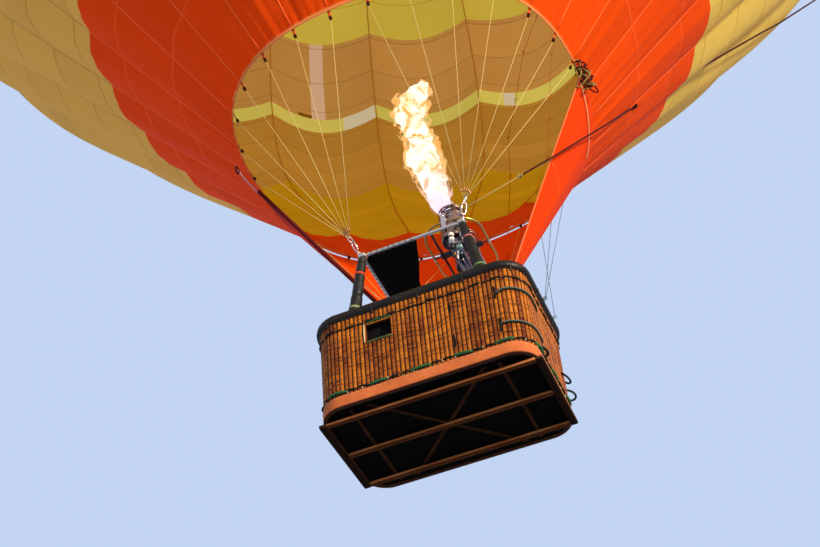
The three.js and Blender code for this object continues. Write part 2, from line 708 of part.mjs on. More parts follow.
// Fuel cylinders stand on the floor against the short ends
for (const [name, signX, signY] of corners) {
  const { r, low, high } = FUEL;
  const tank = lathe([
    [0, low],
    [r - FUEL_BASE.inset, low],
    [r, low + FUEL_BASE.rise],
    [r, high - FUEL_SHOULDER.drop],
    [r * FUEL_SHOULDER.midShare, high - FUEL_SHOULDER.mid],
    [FUEL_VALVE.r, high],
    [FUEL_VALVE.r, high + FUEL_VALVE.height],
    [0, high + FUEL_VALVE.height],
  ], 12);
  addPiece(`fuel_cylinder_${name}`, tank.translate(signX * FUEL.x, signY * FUEL.y, 0), 'tank');
}

export default balloon;
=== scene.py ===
import math
from functools import partial
import bpy
import numpy as np
from mathutils import Matrix


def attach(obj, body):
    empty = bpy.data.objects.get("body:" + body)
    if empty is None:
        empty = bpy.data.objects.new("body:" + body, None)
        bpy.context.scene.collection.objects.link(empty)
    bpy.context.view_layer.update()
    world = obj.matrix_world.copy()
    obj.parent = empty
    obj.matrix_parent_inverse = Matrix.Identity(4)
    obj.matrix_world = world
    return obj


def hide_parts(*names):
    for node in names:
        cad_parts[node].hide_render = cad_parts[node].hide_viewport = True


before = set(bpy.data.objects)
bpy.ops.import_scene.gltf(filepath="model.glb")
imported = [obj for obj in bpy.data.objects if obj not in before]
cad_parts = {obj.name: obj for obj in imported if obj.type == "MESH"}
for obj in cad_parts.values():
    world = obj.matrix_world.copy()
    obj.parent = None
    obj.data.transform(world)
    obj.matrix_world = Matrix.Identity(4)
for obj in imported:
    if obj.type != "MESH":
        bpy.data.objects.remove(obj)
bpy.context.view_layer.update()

# A hot air balloon in flight, seen from below. Metres, +Z up, the basket's near side towards -Y.
print("frame loaded")


# Camera, light and floor
camera = {
    "place": (3.16284, -10.28251, -8.38774),
    "yaw": 0.318981,        # radians to the left of +Y
    "pitch": 0.768869,      # radians above the horizon
    "roll": -0.103331,
    "lens": 64.05,          # millimetres on a 36 mm wide sensor
}


def makeCamera():
    yaw, pitch, roll = camera["yaw"], camera["pitch"], camera["roll"]
    forward = np.array([-math.sin(yaw) * math.cos(pitch), math.cos(yaw) * math.cos(pitch), math.sin(pitch)])
    level = np.array([math.cos(yaw), math.sin(yaw), 0])
    above = np.cross(level, forward)
    right = math.cos(roll) * level + math.sin(roll) * above
    up = math.cos(roll) * above - math.sin(roll) * level
    made = bpy.data.objects.new("camera", bpy.data.cameras.new("camera"))
    made.data.sensor_width = 36
    made.data.lens = camera["lens"]
    made.data.clip_end = 400
    place = Matrix(np.stack([right, up, -forward], 1).tolist()).to_4x4()
    place.translation = camera["place"]
    made.matrix_world = place
    bpy.context.collection.objects.link(made)
    bpy.context.scene.camera = made


light = {
    "sky": "C3D5F2",
    "skyStrength": 1.0,
    "sunFrom": (0.80, -0.45, 0.08),
    "sunStrength": 5.7,
    "sunAngle": 6,          # degrees across, so its shadows are soft
    "sunColour": "FFE9C8",
    "floor": "D9D8D4",
    "floorHeight": -8.5,
    "floorHalf": 120,
}


def linear(hexColour):
    # sRGB to linear: below 0.04045 divided by 12.92, otherwise ((c + 0.055) / 1.055) to the power 2.4
    parts = [int(hexColour[i:i + 2], 16) / 255 for i in (0, 2, 4)]
    return [c / 12.92 if c <= 0.04045 else ((c + 0.055) / 1.055) ** 2.4 for c in parts] + [1]


def addNode(tree, kind, inputs=None, out=0, **settings):
    # one node: settings are its own values, inputs are values, hex colours or the sockets that feed them
    node = tree.nodes.new("ShaderNode" + kind)
    for name, value in settings.items():
        setattr(node, name, value)
    for name, value in (inputs or {}).items():
        if isinstance(value, bpy.types.NodeSocket):
            tree.links.new(value, node.inputs[name])
        else:
            node.inputs[name].default_value = linear(value) if isinstance(value, str) else value
    return node.outputs[out] if node.outputs else node


def makeLight():
    world = bpy.data.worlds.new("pale surroundings")
    world.use_nodes = True
    background = world.node_tree.nodes["Background"]
    background.inputs[0].default_value = linear(light["sky"])
    background.inputs[1].default_value = light["skyStrength"]
    bpy.context.scene.world = world
    bpy.context.scene.view_settings.view_transform = "Standard"
    sun = bpy.data.objects.new("sun", bpy.data.lights.new("sun", "SUN"))
    sun.data.energy = light["sunStrength"]
    sun.data.angle = math.radians(light["sunAngle"])
    sun.data.color = linear(light["sunColour"])[:3]
    forward = -np.array(light["sunFrom"]) / np.linalg.norm(light["sunFrom"])
    level = np.cross(forward, (0, 0, 1))
    level /= np.linalg.norm(level)
    sun.matrix_world = Matrix(np.stack([level, np.cross(level, forward), -forward], 1).tolist()).to_4x4()
    bpy.context.collection.objects.link(sun)


# Shapes are dictionaries of points, face corners, corners per face, uv per corner and slot per face
def gridShape(points, wrapRows=False, wrapColumns=False, u=None, v=None, slot=0):
    # rows x columns of points become quads; u has a value for each column line and v for each row line
    rows, columns = points.shape[:2]
    rowCount = rows if wrapRows else rows - 1
    columnCount = columns if wrapColumns else columns - 1
    r, c = np.meshgrid(np.arange(rowCount), np.arange(columnCount), indexing="ij")
    rNext, cNext = (r + 1) % rows, (c + 1) % columns
    quads = np.stack([r * columns + c, r * columns + cNext, rNext * columns + cNext, rNext * columns + c], -1)
    u = np.linspace(0, 1, columnCount + 1) if u is None else u
    v = np.linspace(0, 1, rowCount + 1) if v is None else v
    uv = np.stack([
        np.stack([u[c], v[r]], -1), np.stack([u[c + 1], v[r]], -1),
        np.stack([u[c + 1], v[r + 1]], -1), np.stack([u[c], v[r + 1]], -1)], 2)
    count = rowCount * columnCount
    return {
        "points": points.reshape(-1, 3), "corners": quads.reshape(-1),
        "sizes": np.full(count, 4), "uv": uv.reshape(-1, 2), "slots": np.full(count, slot)}


def joinShapes(shapes):
    starts = np.cumsum([0] + [len(s["points"]) for s in shapes])
    shifted = [{**s, "corners": s["corners"] + start} for s, start in zip(shapes, starts)]
    return {key: np.concatenate([s[key] for s in shifted]) for key in shapes[0]}


def flipped(shape):
    # the same faces seen from the other side, every one a quad
    order = shape["corners"].reshape(-1, 4)[:, ::-1].reshape(-1)
    uv = shape["uv"].reshape(-1, 4, 2)[:, ::-1].reshape(-1, 2)
    return {**shape, "corners": order, "uv": uv}


def placed(shape, place, columns=np.eye(3)):
    # the shape moved to a place; columns are the directions that its x, y and z take
    return {**shape, "points": shape["points"] @ np.array(columns, float) + np.array(place, float)}


def turnedCopies(shape, angles):
    # one copy of the shape for each angle about Z
    turns = [((math.cos(a), math.sin(a), 0), (-math.sin(a), math.cos(a), 0), (0, 0, 1)) for a in angles]
    return joinShapes([placed(shape, (0, 0, 0), turn) for turn in turns])


def keepFaces(shape, keep):
    # the shape without the quads where keep is false
    return {
        "points": shape["points"], "corners": shape["corners"].reshape(-1, 4)[keep].reshape(-1),
        "sizes": shape["sizes"][keep], "uv": shape["uv"].reshape(-1, 4, 2)[keep].reshape(-1, 2),
        "slots": shape["slots"][keep]}


def withEnds(shape, rows, ring, slot=0, first=True):
    # flat faces close the last row of ring points, and the first one too
    ends = [np.arange(ring)[::-1]] if first else []
    ends.append((rows - 1) * ring + np.arange(ring))
    added = {
        "points": np.zeros((0, 3)), "corners": np.concatenate(ends), "sizes": np.full(len(ends), ring),
        "uv": np.zeros((len(ends) * ring, 2)), "slots": np.full(len(ends), slot)}
    return {key: np.concatenate([shape[key], added[key]]) for key in shape}


def tube(path, radius, sides=8, closed=False, across=None, flat=1.0, slot=0):
    # a ring is carried along the path: point = path + radius * (cos a * side + flat * sin a * above),
    # where side is square to the path and to the reference direction across
    path = np.asarray(path, float)
    if closed:
        tangent = np.roll(path, -1, 0) - np.roll(path, 1, 0)
    else:
        tangent = np.gradient(path, axis=0)
    tangent /= np.linalg.norm(tangent, axis=1, keepdims=True)
    if across is None:
        across = np.eye(3)[np.argmin(np.abs(tangent).max(0))]
    side = np.cross(tangent, across)
    side /= np.linalg.norm(side, axis=1, keepdims=True)
    above = np.cross(tangent, side)
    angle = 2 * np.pi * np.arange(sides) / sides
    radius = np.broadcast_to(np.asarray(radius, float), len(path))[:, None, None]
    ring = np.cos(angle)[None, :, None] * side[:, None] + flat * np.sin(angle)[None, :, None] * above[:, None]
    points = path[:, None] + radius * ring
    step = np.linalg.norm(np.diff(path, axis=0), axis=1)
    v = np.concatenate([[0], np.cumsum(step)])
    if closed:
        v = np.append(v, v[-1] + np.linalg.norm(path[0] - path[-1]))
    shape = gridShape(points, wrapRows=closed, wrapColumns=True, v=v, slot=slot)
    return shape if closed else withEnds(shape, len(path), sides, slot)


def fullTurn(count):
    return np.linspace(0, 2 * np.pi, count, endpoint=False)


def polar(radius, angle, z):
    # points by their distance from the Z axis, angle round it and height
    return np.stack(np.broadcast_arrays(radius * np.cos(angle), radius * np.sin(angle), z), -1)


def eased(wave, power):
    # a wave with flatter crests: its sign times its size to the power
    return np.sign(wave) * np.abs(wave) ** power


def spun(profile, segments, slot=0, ring=False):
    # the profile (radius, height) is turned about Z: a ring's closes on itself, another ends in flat discs
    profile = np.asarray(profile, float)
    angle = 2 * np.pi * np.arange(segments) / segments
    points = polar(profile[:, :1], angle, profile[:, 1:])
    shape = gridShape(points, wrapRows=ring, wrapColumns=True, slot=slot)
    return shape if ring else withEnds(shape, len(profile), segments, slot)


def roundedBox(halfX, halfY, halfZ, edge, slot=0):
    # a box whose outline in plan is a rounded rectangle and whose top and bottom edges are eased
    outline = roundedOutline(halfX, halfY, edge, 4)
    inner = roundedOutline(halfX - edge * 0.6, halfY - edge * 0.6, edge * 0.4, 4)
    heights = [(inner, -halfZ), (outline, -halfZ + edge * 0.6), (outline, halfZ - edge * 0.6), (inner, halfZ)]
    points = np.stack([np.concatenate([ring, np.full((len(ring), 1), z)], 1) for ring, z in heights])
    return withEnds(gridShape(points, wrapColumns=True, slot=slot), 4, points.shape[1], slot)


def roundedOutline(halfX, halfY, radius, perCorner):
    # anticlockwise rounded rectangle: four quarter circles joined by straight sides
    quarter = np.linspace(0, np.pi / 2, perCorner)
    corners = [(1, -1, -90), (1, 1, 0), (-1, 1, 90), (-1, -1, 180)]
    return np.concatenate([
        np.stack([
            signX * (halfX - radius) + radius * np.cos(quarter + math.radians(start)),
            signY * (halfY - radius) + radius * np.sin(quarter + math.radians(start))], 1)
        for signX, signY, start in corners])


def straight(start, end, count):
    # points spaced evenly along a line
    share = np.linspace(0, 1, count)[:, None]
    return np.array(start, float) * (1 - share) + np.array(end, float) * share


def smoothPath(points, count):
    # a curve through the points: cubic pieces whose slope at a point is half the way between its neighbours
    points = np.asarray(points, float)
    before = np.vstack([2 * points[0] - points[1], points, 2 * points[-1] - points[-2]])
    place = np.linspace(0, len(points) - 1, count)
    k = np.minimum(place.astype(int), len(points) - 2)
    t = (place - k)[:, None]
    p0, p1, p2, p3 = before[k], before[k + 1], before[k + 2], before[k + 3]
    return 0.5 * (2 * p1 + (p2 - p0) * t + (2 * p0 - 5 * p1 + 4 * p2 - p3) * t ** 2
                  + (3 * p1 - p0 - 3 * p2 + p3) * t ** 3)


def makePiece(name, shape, materials, body="balloon", replaces=None):
    # shape can be a list of shapes, and materials one material or a list
    shape = joinShapes(shape) if isinstance(shape, list) else shape
    mesh = bpy.data.meshes.new(name)
    sizes, corners = shape["sizes"], shape["corners"]
    mesh.vertices.add(len(shape["points"]))
    mesh.vertices.foreach_set("co", shape["points"].astype(np.float32).reshape(-1))
    mesh.loops.add(len(corners))
    mesh.loops.foreach_set("vertex_index", corners.astype(np.int32))
    mesh.polygons.add(len(sizes))
    mesh.polygons.foreach_set("loop_start", np.concatenate([[0], np.cumsum(sizes)[:-1]]).astype(np.int32))
    mesh.polygons.foreach_set("material_index", shape["slots"].astype(np.int32))
    mesh.polygons.foreach_set("use_smooth", np.ones(len(sizes), bool))
    mesh.uv_layers.new(name="UVMap").data.foreach_set("uv", shape["uv"].astype(np.float32).reshape(-1))
    mesh.update(calc_edges=True)
    for material in materials if isinstance(materials, list) else [materials]:
        mesh.materials.append(material)
    piece = bpy.data.objects.new(name, mesh)
    bpy.context.collection.objects.link(piece)
    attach(piece, body)
    if replaces:
        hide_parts(replaces)
    return piece


def dress(node, material):
    # a solid that is seen as it is gets the scene's material
    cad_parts[node].data.materials.clear()
    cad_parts[node].data.materials.append(material)


makeCamera()
makeLight()
print("camera and light made")


# Materials
def newMaterial(name):
    # an empty material, the function that adds its nodes, and its Object coordinates
    material = bpy.data.materials.new(name)
    material.use_nodes = True
    material.node_tree.nodes.clear()
    add = partial(addNode, material.node_tree)
    return material, add, add("TexCoord", out=3)


def darker(colour, share):
    return [c * share for c in linear(colour)[:3]] + [1]


def finished(material, shader):
    addNode(material.node_tree, "OutputMaterial", {"Surface": shader})
    return material


def matteFloor():
    # painted studio floor: flat pale grey, no gloss
    material, add, coords = newMaterial("matteFloor")
    mottle = add("TexNoise", {"Vector": coords, "Scale": 0.4, "Detail": 2.0})
    colour = add("Mix", {0: mottle, 6: light["floor"], 7: "DEDDD9"}, 2, data_type="RGBA")
    return finished(material, add("BsdfPrincipled", {"Base Color": colour, "Roughness": 0.9}))


cloth = {
    "panelPitch": 1.10,       # metres between the sewn joins of a gore's panels
    "joinWidth": 0.022,       # folded and double sewn, drawn a little wide so that it shows
    "ripstop": 0.05,          # real threads are 5 mm apart; ten times as coarse, to show in close views
    "through": 0.45,          # share of light that the coated nylon passes on
    "roughness": 0.6,
    "specular": 0.03,
}


def ripstopCloth(name, outside, inside, join, patches=()):
    # coated ripstop nylon: thin, crisp and slightly glossy, and it glows where light falls on its far side
    # patches are (gore from, gore to, metres from, metres to, colour), in the piece's own uv
    material, add, coords = newMaterial(name)
    uv = add("UVMap", uv_map="UVMap")
    gore = add("SeparateXYZ", {0: uv})
    along = gore.node.outputs[1]
    # each panel is a shade of its own: a random value for its gore and its row
    rowNumber = add("Math", {0: along, 1: cloth["panelPitch"]}, operation="DIVIDE")
    row = add("Math", {0: rowNumber}, operation="FLOOR")
    column = add("Math", {0: gore}, operation="FLOOR")
    panel = add("CombineXYZ", {0: column, 1: row})
    shade = add("TexWhiteNoise", {"Vector": panel}, noise_dimensions="3D")
    mottle = add("TexNoise", {"Vector": coords, "Scale": 0.55, "Detail": 3.0})
    tone = add("Math", {0: shade, 1: mottle}, operation="ADD")
    tone = add("MapRange", {0: tone, 1: 0.2, 2: 1.8, 3: 0.88, 4: 1.1})
    # the joins across the gore
    nearJoin = add("Math", {0: along, 1: cloth["panelPitch"] / 2}, operation="PINGPONG")
    joinHere = add("MapRange", {0: nearJoin, 1: cloth["joinWidth"], 2: 0.5 * cloth["joinWidth"]})
    seams = []
    for colour in (outside, inside):
        base = add("HueSaturation", {"Color": colour, "Value": tone})
        for goreFrom, goreTo, low, high, patchColour in patches:
            within = [
                add("Math", {0: gore, 1: goreFrom}, operation="GREATER_THAN"),
                add("Math", {0: gore, 1: goreTo}, operation="LESS_THAN"),
                add("Math", {0: along, 1: low}, operation="GREATER_THAN"),
                add("Math", {0: along, 1: high}, operation="LESS_THAN")]
            here = within[0]
            for other in within[1:]:
                here = add("Math", {0: here, 1: other}, operation="MULTIPLY")
            base = add("Mix", {0: here, 6: base, 7: patchColour}, 2, data_type="RGBA")
        share = add("Math", {0: joinHere, 1: 0.4}, operation="MULTIPLY")
        seams.append(add("Mix", {0: share, 6: base, 7: join}, 2, data_type="RGBA"))
    # bump: the ripstop's thicker threads, a low crinkle in the cloth, and the raised joins
    threads = add("TexBrick", {
        "Vector": coords, "Scale": 1.0, "Mortar Size": 0.004, "Brick Width": cloth["ripstop"],
        "Row Height": cloth["ripstop"], "Color1": "000000", "Color2": "000000", "Mortar": "FFFFFF"},
        offset=0.0)
    crinkle = add("TexNoise", {"Vector": coords, "Scale": 2.2, "Detail": 4.0, "Roughness": 0.6})
    lift = add("Math", {0: threads, 1: 0.03, 2: crinkle}, operation="MULTIPLY_ADD")
    lift = add("Math", {0: joinHere, 1: 0.15, 2: lift}, operation="MULTIPLY_ADD")
    bump = add("Bump", {"Height": lift, "Strength": 0.5, "Distance": 0.05})
    face = add("BsdfPrincipled", {
        "Base Color": seams[0], "Roughness": cloth["roughness"], "Specular IOR Level": cloth["specular"],
        "Normal": bump})
    glow = add("BsdfTranslucent", {"Color": seams[1], "Normal": bump})
    return finished(material, add("MixShader", {0: cloth["through"], 1: face, 2: glow}))


def tapeWeb():
    # polyester load tape sewn in each colour zone's own thread: orange low down, and brown-gold above the
    # orange zone's top edge, at 6.56 m
    material, add, coords = newMaterial("loadTapeWeb")
    height = add("SeparateXYZ", {0: coords}).node.outputs[2]
    up = add("MapRange", {0: height, 1: 6.53, 2: 6.60})
    stain = add("TexNoise", {"Vector": coords, "Scale": 2.0, "Detail": 4.0})
    brown = add("Mix", {0: stain, 6: "B07C2C", 7: "D8A24C"}, 2, data_type="RGBA")
    base = add("Mix", {0: up, 6: "F85A1C", 7: brown}, 2, data_type="RGBA")
    return finished(material, add("BsdfPrincipled", {
        "Base Color": base, "Roughness": 0.8, "Specular IOR Level": 0.15}))


def woven(name, low, high, threads, roughness, specular, bump=None, stain=None):
    # slanted threads lift the surface; its colour goes from low to high with a stain when one is given, and
    # otherwise with the threads, as painted shade in the grooves between them; threads, bump and stain are
    # the settings of their nodes
    material, add, coords = newMaterial(name)
    lay = add("TexWave", {"Vector": coords, **threads}, bands_direction="DIAGONAL")
    tint = add("TexNoise", {"Vector": coords, **stain}) if stain else lay
    inputs = {
        "Base Color": add("Mix", {0: tint, 6: low, 7: high}, 2, data_type="RGBA"),
        "Roughness": roughness, "Specular IOR Level": specular}
    if bump:
        inputs["Normal"] = add("Bump", {"Height": lay, **bump})
    return finished(material, add("BsdfPrincipled", inputs))


def webbing(name, colour, pitch=0.004):
    # woven polyester webbing: matt, with fine ribs across the strap
    return woven(name, colour, darker(colour, 0.72), {"Scale": 0.314 / pitch, "Distortion": 1.0}, 0.85, 0.15,
                 {"Strength": 0.35, "Distance": 0.001}, {"Scale": 9.0, "Detail": 3.0})


half, low = light["floorHalf"], light["floorHeight"]
floorPoints = np.array([[(x, y, low) for x in (-half, half)] for y in (-half, half)], float)
makePiece("studioFloor", gridShape(floorPoints), matteFloor())


# Envelope: the tapes follow a curve from the mouth to the widest ring and on to the crown
envelope = {
    "gores": 28,
    "mouthHeight": 4.24,
    # radius and height over the mouth of the two curves' control points
    "lower": [(2.02, 0), (2.02 + 0.779 * 6.04, 6.04), (10.72, 10.21), (10.72, 14.86)],
    "upper": [(10.72, 14.86), (10.72, 14.86 + 0.5523 * 7.54), (0.5523 * 10.72, 22.4), (0, 22.4)],
    "bulge": 0.2,
    "bulgeGrowsOver": 2.7,
    "square": (0.03, 2.5),    # the wires pull the mouth towards a square: share of the radius, fades over
    "turn": (0.9, 2.3, 5.0),  # degrees by which the tapes are turned at the mouth, and from 5 m above it
    "perGore": 16,            # columns of cloth in a gore
    "crownHole": 2.6,
    "curvePoints": 400,
}
upperCurve = slice(envelope["curvePoints"], None)


def tapeTable():
    # the two cubic curves as one table: metres along the tape, radius, height, and the outward normal
    t = np.linspace(0, 1, envelope["curvePoints"])[:, None]
    parts = []
    for key in ("lower", "upper"):
        p0, p1, p2, p3 = np.array(envelope[key], float)
        parts.append((1 - t) ** 3 * p0 + 3 * (1 - t) ** 2 * t * p1 + 3 * (1 - t) * t ** 2 * p2 + t ** 3 * p3)
    curve = np.concatenate([parts[0], parts[1][1:]])
    length = np.concatenate([[0], np.cumsum(np.linalg.norm(np.diff(curve, axis=0), axis=1))])
    slope = np.gradient(curve, axis=0)
    slope /= np.linalg.norm(slope, axis=1, keepdims=True)
    return {"along": length, "r": curve[:, 0], "h": curve[:, 1], "nr": slope[:, 1], "nh": -slope[:, 0]}


tape = tapeTable()


def alongAt(height):
    return float(np.interp(height, tape["h"], tape["along"]))


def tapeAngle(gore, height=0.0):
    low, high, over = envelope["turn"]
    turn = low + (high - low) * np.minimum(height / over, 1)
    return 2 * np.pi * (gore + 0.5) / envelope["gores"] + np.radians(turn)


def squared(angle, height=0.0):
    share, fade = envelope["square"]
    return 1 + share * np.cos(4 * angle - np.pi) * np.exp(-height / fade)


def squareUp(points):
    # points near the mouth, moved out or in with its hem
    scale = squared(np.arctan2(points[..., 1], points[..., 0]))
    return points * np.stack([scale, scale, np.ones_like(scale)], -1)


def ripple(place, seed):
    # a smooth wave that never repeats: three sines whose lengths have no common measure
    waves = np.sin(place + 2.4 * seed) + np.sin(1.618 * place + 5.1 * seed) + np.sin(2.731 * place - seed)
    return waves / 3


def clothPoint(gore, along, lift=0.0):
    # radius = tape radius + bulge * sin(pi * fraction of the gore) * gore width along the normal,
    # plus folds that run up from the mouth and small puckers beside the tapes
    r, h, nr, nh = (np.interp(along, tape["along"], tape[key]) for key in ("r", "h", "nr", "nh"))
    width = 2 * np.pi * r / envelope["gores"]
    number = np.floor(gore)
    fraction = gore - number
    across = np.sin(np.pi * fraction)
    swell = across * width * h / (h + envelope["bulgeGrowsOver"])
    slack = np.exp(-along / 5.0)
    folds = 0.020 * slack * across * ripple(9.0 * fraction + 0.35 * along, number * 1.7)
    fromTape = np.minimum(fraction, 1 - fraction) * width
    puckers = 0.007 * np.exp(-fromTape / 0.16) * (1 - np.exp(-fromTape / 0.03)) * ripple(11.0 * along, number)
    out = envelope["bulge"] * swell + folds + puckers + lift
    angle = tapeAngle(gore, h)
    radius = r * squared(angle, h) + out * nr
    z = envelope["mouthHeight"] + h + out * nh
    return polar(radius, angle, z)


# Columns: piece, CAD node, height of the top edge over the mouth, metres between rows, record slot
zones = [
    ("orangeZone", "envelope_orange_zone", 2.32, 0.07, "orange_cloth"),
    ("goldZone", "envelope_gold_zone", 8.5, 0.10, "gold_cloth"),
    ("lowerTanZone", "envelope_lower_tan_zone", 12.93, 0.16, "tan_cloth"),
    ("yellowStripe", "envelope_yellow_stripe", 13.52, 0.16, "yellow_cloth"),
    ("upperTanZone", "envelope_upper_tan_zone", 16.16, 0.2, "tan_cloth"),
    ("shoulderZone", "envelope_shoulder_zone", 19.6, 0.25, "yellow_cloth"),
    ("crownZone", "envelope_crown_zone", 22.4, 0.25, "yellow_cloth"),
]

zoneCloth = {
    "orangeZone": ("EE520C", "DC3806", "F87038", ()),
    "goldZone": ("E2CE66", "DA9002", "9C681C", ()),
    "lowerTanZone": ("DAAE60", "DC9E40", "9A661E", ()),
    "yellowStripe": ("FFFAA8", "FFFA78", "C8B048", (
        (8.01, 8.31, 0, 40, "FFFCDC"), (6.68, 6.78, 0, 40, "FFFCDC"))),
    # the upper tan zone is the same tan cloth as the lower one, made lighter and paler inside as painted glow
    # of the flame's light high in the envelope
    "upperTanZone": ("DEB46A", "F2AE5A", "A06C28", (
        (8.47, 8.60, 0, 40, "FFDCB8"), (8.60, 8.73, alongAt(13.54), alongAt(13.68), "9A6A1E"))),
    "shoulderZone": ("F2DE74", "FFEC58", "B89A30", ()),
    "crownZone": ("F2DE74", "FFEC58", "B89A30", ()),
}


lastAlong = float(np.interp(-envelope["crownHole"], -tape["r"][upperCurve], tape["along"][upperCurve]))


def makeEnvelope():
    columns = envelope["gores"] * envelope["perGore"]
    gore = np.arange(columns) / envelope["perGore"]
    start = 0.0
    for name, node, top, pitch, slot in zones:
        end = lastAlong if name == "crownZone" else alongAt(top)
        rows = int(math.ceil((end - start) / pitch)) + 1
        along = np.linspace(start, end, rows)
        shape = gridShape(clothPoint(gore[None], along[:, None]), wrapColumns=True,
                          u=np.arange(columns + 1) / envelope["perGore"], v=along)
        outside, inside, join, patches = zoneCloth[name]
        piece = makePiece(name, shape, ripstopCloth(name + "Cloth", outside, inside, join, patches),
                          replaces=node)
        start = end


loadTape = {"width": 0.022, "thick": 0.003, "rows": 170, "stand": 0.003}


def makeLoadTapes():
    # a flat strap over each valley, inside and outside the cloth: a thin box carried up the tape curve
    along = np.linspace(0.02, lastAlong - 0.05, loadTape["rows"])[:, None]
    r, h, nr, nh = (np.interp(along, tape["along"], tape[key]) for key in ("r", "h", "nr", "nh"))
    wide = np.array([-1, 1, 1, -1]) * loadTape["width"] / 2
    thick = np.array([-1, -1, 1, 1]) * loadTape["thick"] / 2
    strips = []
    for side in (-1, 1):
        for gore in range(envelope["gores"]):
            middle, out = tapeAngle(gore, h), side * loadTape["stand"] + thick
            angle = middle + wide / r
            radius = r * squared(middle, h) + out * nr
            points = polar(radius, angle, envelope["mouthHeight"] + h + out * nh)
            strips.append(withEnds(gridShape(points, wrapColumns=True, v=along[:, 0]), len(along), 4))
    return makePiece("loadTapes", flipped(joinShapes(strips)), tapeWeb())


makeEnvelope()
makeLoadTapes()
print("envelope made")


# Mouth: a folded webbing hem, and a tab with a dark sleeve at the end of every load tape
mouth = {
    "radius": 2.02,
    "hemDrop": 0.05,
    "hemThick": 0.011,
    "thimble": (1.962, 4.116),     # radius and height where a flying wire starts
    "tabWidth": 0.042,
}


def makeMouth():
    top = envelope["mouthHeight"] - 0.0005
    low = top - mouth["hemDrop"]
    outer, inner = mouth["radius"], mouth["radius"] - mouth["hemThick"]
    turn = fullTurn(16)
    # a flattened ring: superellipse section, radius = middle + half * cos, height = centre + drop / 2 * sin
    profile = np.stack([
        (outer + inner) / 2 + (outer - inner) / 2 * eased(np.cos(turn), 0.5),
        (top + low) / 2 + (top - low) / 2 * eased(np.sin(turn), 0.5)], 1)
    thimbleR, thimbleZ = mouth["thimble"]
    start = np.array([mouth["radius"] - 0.016, 0, top - 0.004])
    end = np.array([thimbleR + 0.006, 0, thimbleZ + 0.02])
    path = straight(start, end, 7)
    path[:, 0] += 0.004 * np.sin(np.pi * np.linspace(0, 1, 7))
    tab = tube(path, mouth["tabWidth"] / 2 * np.linspace(1, 0.62, 7), across=(1, 0, 0), flat=0.14)
    sleeve = tube(straight(end + (0.006, 0, 0.016), end + (-0.014, 0, -0.032), 5),
                  0.017 * np.array([0.6, 1, 1.05, 1, 0.6]), sides=10)
    angles = tapeAngle(np.arange(envelope["gores"]))
    for name, shape, web, colour, slot, node in (
            ("mouthHem", spun(profile[::-1], 196, ring=True), "hemWeb", "E07A44", "pale_tape", "mouth_hem"),
            ("mouthTabs", turnedCopies(tab, angles), "tabWeb", "E8551C", "orange_cloth", None),
            ("tapeSleeves", turnedCopies(sleeve, angles), "sleeveWeb", "3A0C0A", "black_cloth", None)):
        shape["points"] = squareUp(shape["points"])
        makePiece(name, shape, webbing(web, colour), replaces=node)


# Scoop: hung from the far half of the mouth, its lower corners drawn in to the load frame
scoop = {
    "topRadius": 2.028,
    "topHeight": 4.178,
    "corner": (0.65, 0.58, 2.10),
    "lowerDepth": 0.34,
    "fold": 0.012,
    "columns": 120,
    "rows": 60,
}


def scoopPoint(angle, down, lift=0.0):
    # a straight line runs down from each point of the mouth's far half to the lower curve, and shallow
    # folds run along those lines: offset = fold * sin(pi * down) * ripple(angle)
    x, y, z = scoop["corner"]
    away = 0.7 * np.stack([np.cos(angle), np.sin(angle), -np.ones_like(angle)], -1)
    top = squareUp(polar(scoop["topRadius"], angle, scoop["topHeight"]))
    low = np.stack([x * np.cos(angle), y + scoop["lowerDepth"] * np.sin(angle), np.full_like(angle, z)], -1)
    down = down[..., None]
    folds = scoop["fold"] * np.sin(np.pi * down[..., 0]) * ripple(14 * angle + 1.5 * down[..., 0], 3.0)
    return top + (low - top) * down + away * (folds + lift)[..., None]


def makeScoop():
    angle, down = np.linspace(0, np.pi, scoop["columns"]), np.linspace(0, 1, scoop["rows"])
    points = scoopPoint(*np.meshgrid(angle, down))
    # u counts the gores over the scoop, and v the metres down it
    shape = flipped(gridShape(points, u=angle * 7 / np.pi * 2, v=down * 2.6))
    # the dark red patch over the scoop's left end is painted shade
    cloth = ripstopCloth("scoopOrange", "F04A0C", "FA4006", "F86A30", [(12.3, 15, 0, 40, "9C1A0C")])
    piece = makePiece("scoopCloth", shape, cloth, replaces="scoop")
    # the left edge is a thick dark red tube, painted shade on the scoop's outer face where it turns edge-on;
    # the right and lower edges are its pale hem
    edges = [tube(scoopPoint(np.full(scoop["rows"], edge), down), thick, slot=slot)
             for slot, (edge, thick) in enumerate(((0.0, 0.008), (np.pi, 0.024)))]
    edges.append(tube(scoopPoint(angle, np.ones_like(angle)), 0.009))
    makePiece("scoopEdges", edges, [webbing("scoopHemWeb", "F47C4C"), webbing("scoopShadedEdgeWeb", "5A100C")])


# Flying wires: seven from each corner of the load frame, in pale sleeves
rigging = {
    "gather": (0.625, 0.62, 2.20),
    "wire": 0.003,
    "ferrule": 0.007,
    "frameCorner": (0.562, 0.566, 2.023),
    "karabinerBar": 0.0055,
    "gateAside": 0.026,       # the screw gate's distance from the karabiner's middle
}
corners = [("near_left", -1, -1), ("near_right", 1, -1), ("far_right", 1, 1), ("far_left", -1, 1)]


def paleSleeve():
    # stainless wire in a clear polyester braid, yellowed: dull, with fine slanted strands, darker in their
    # grooves as painted shade
    return woven("paleSleeve", "B49C58", "D8C07C", {"Scale": 90.0, "Distortion": 0.5}, 0.5, 0.4)


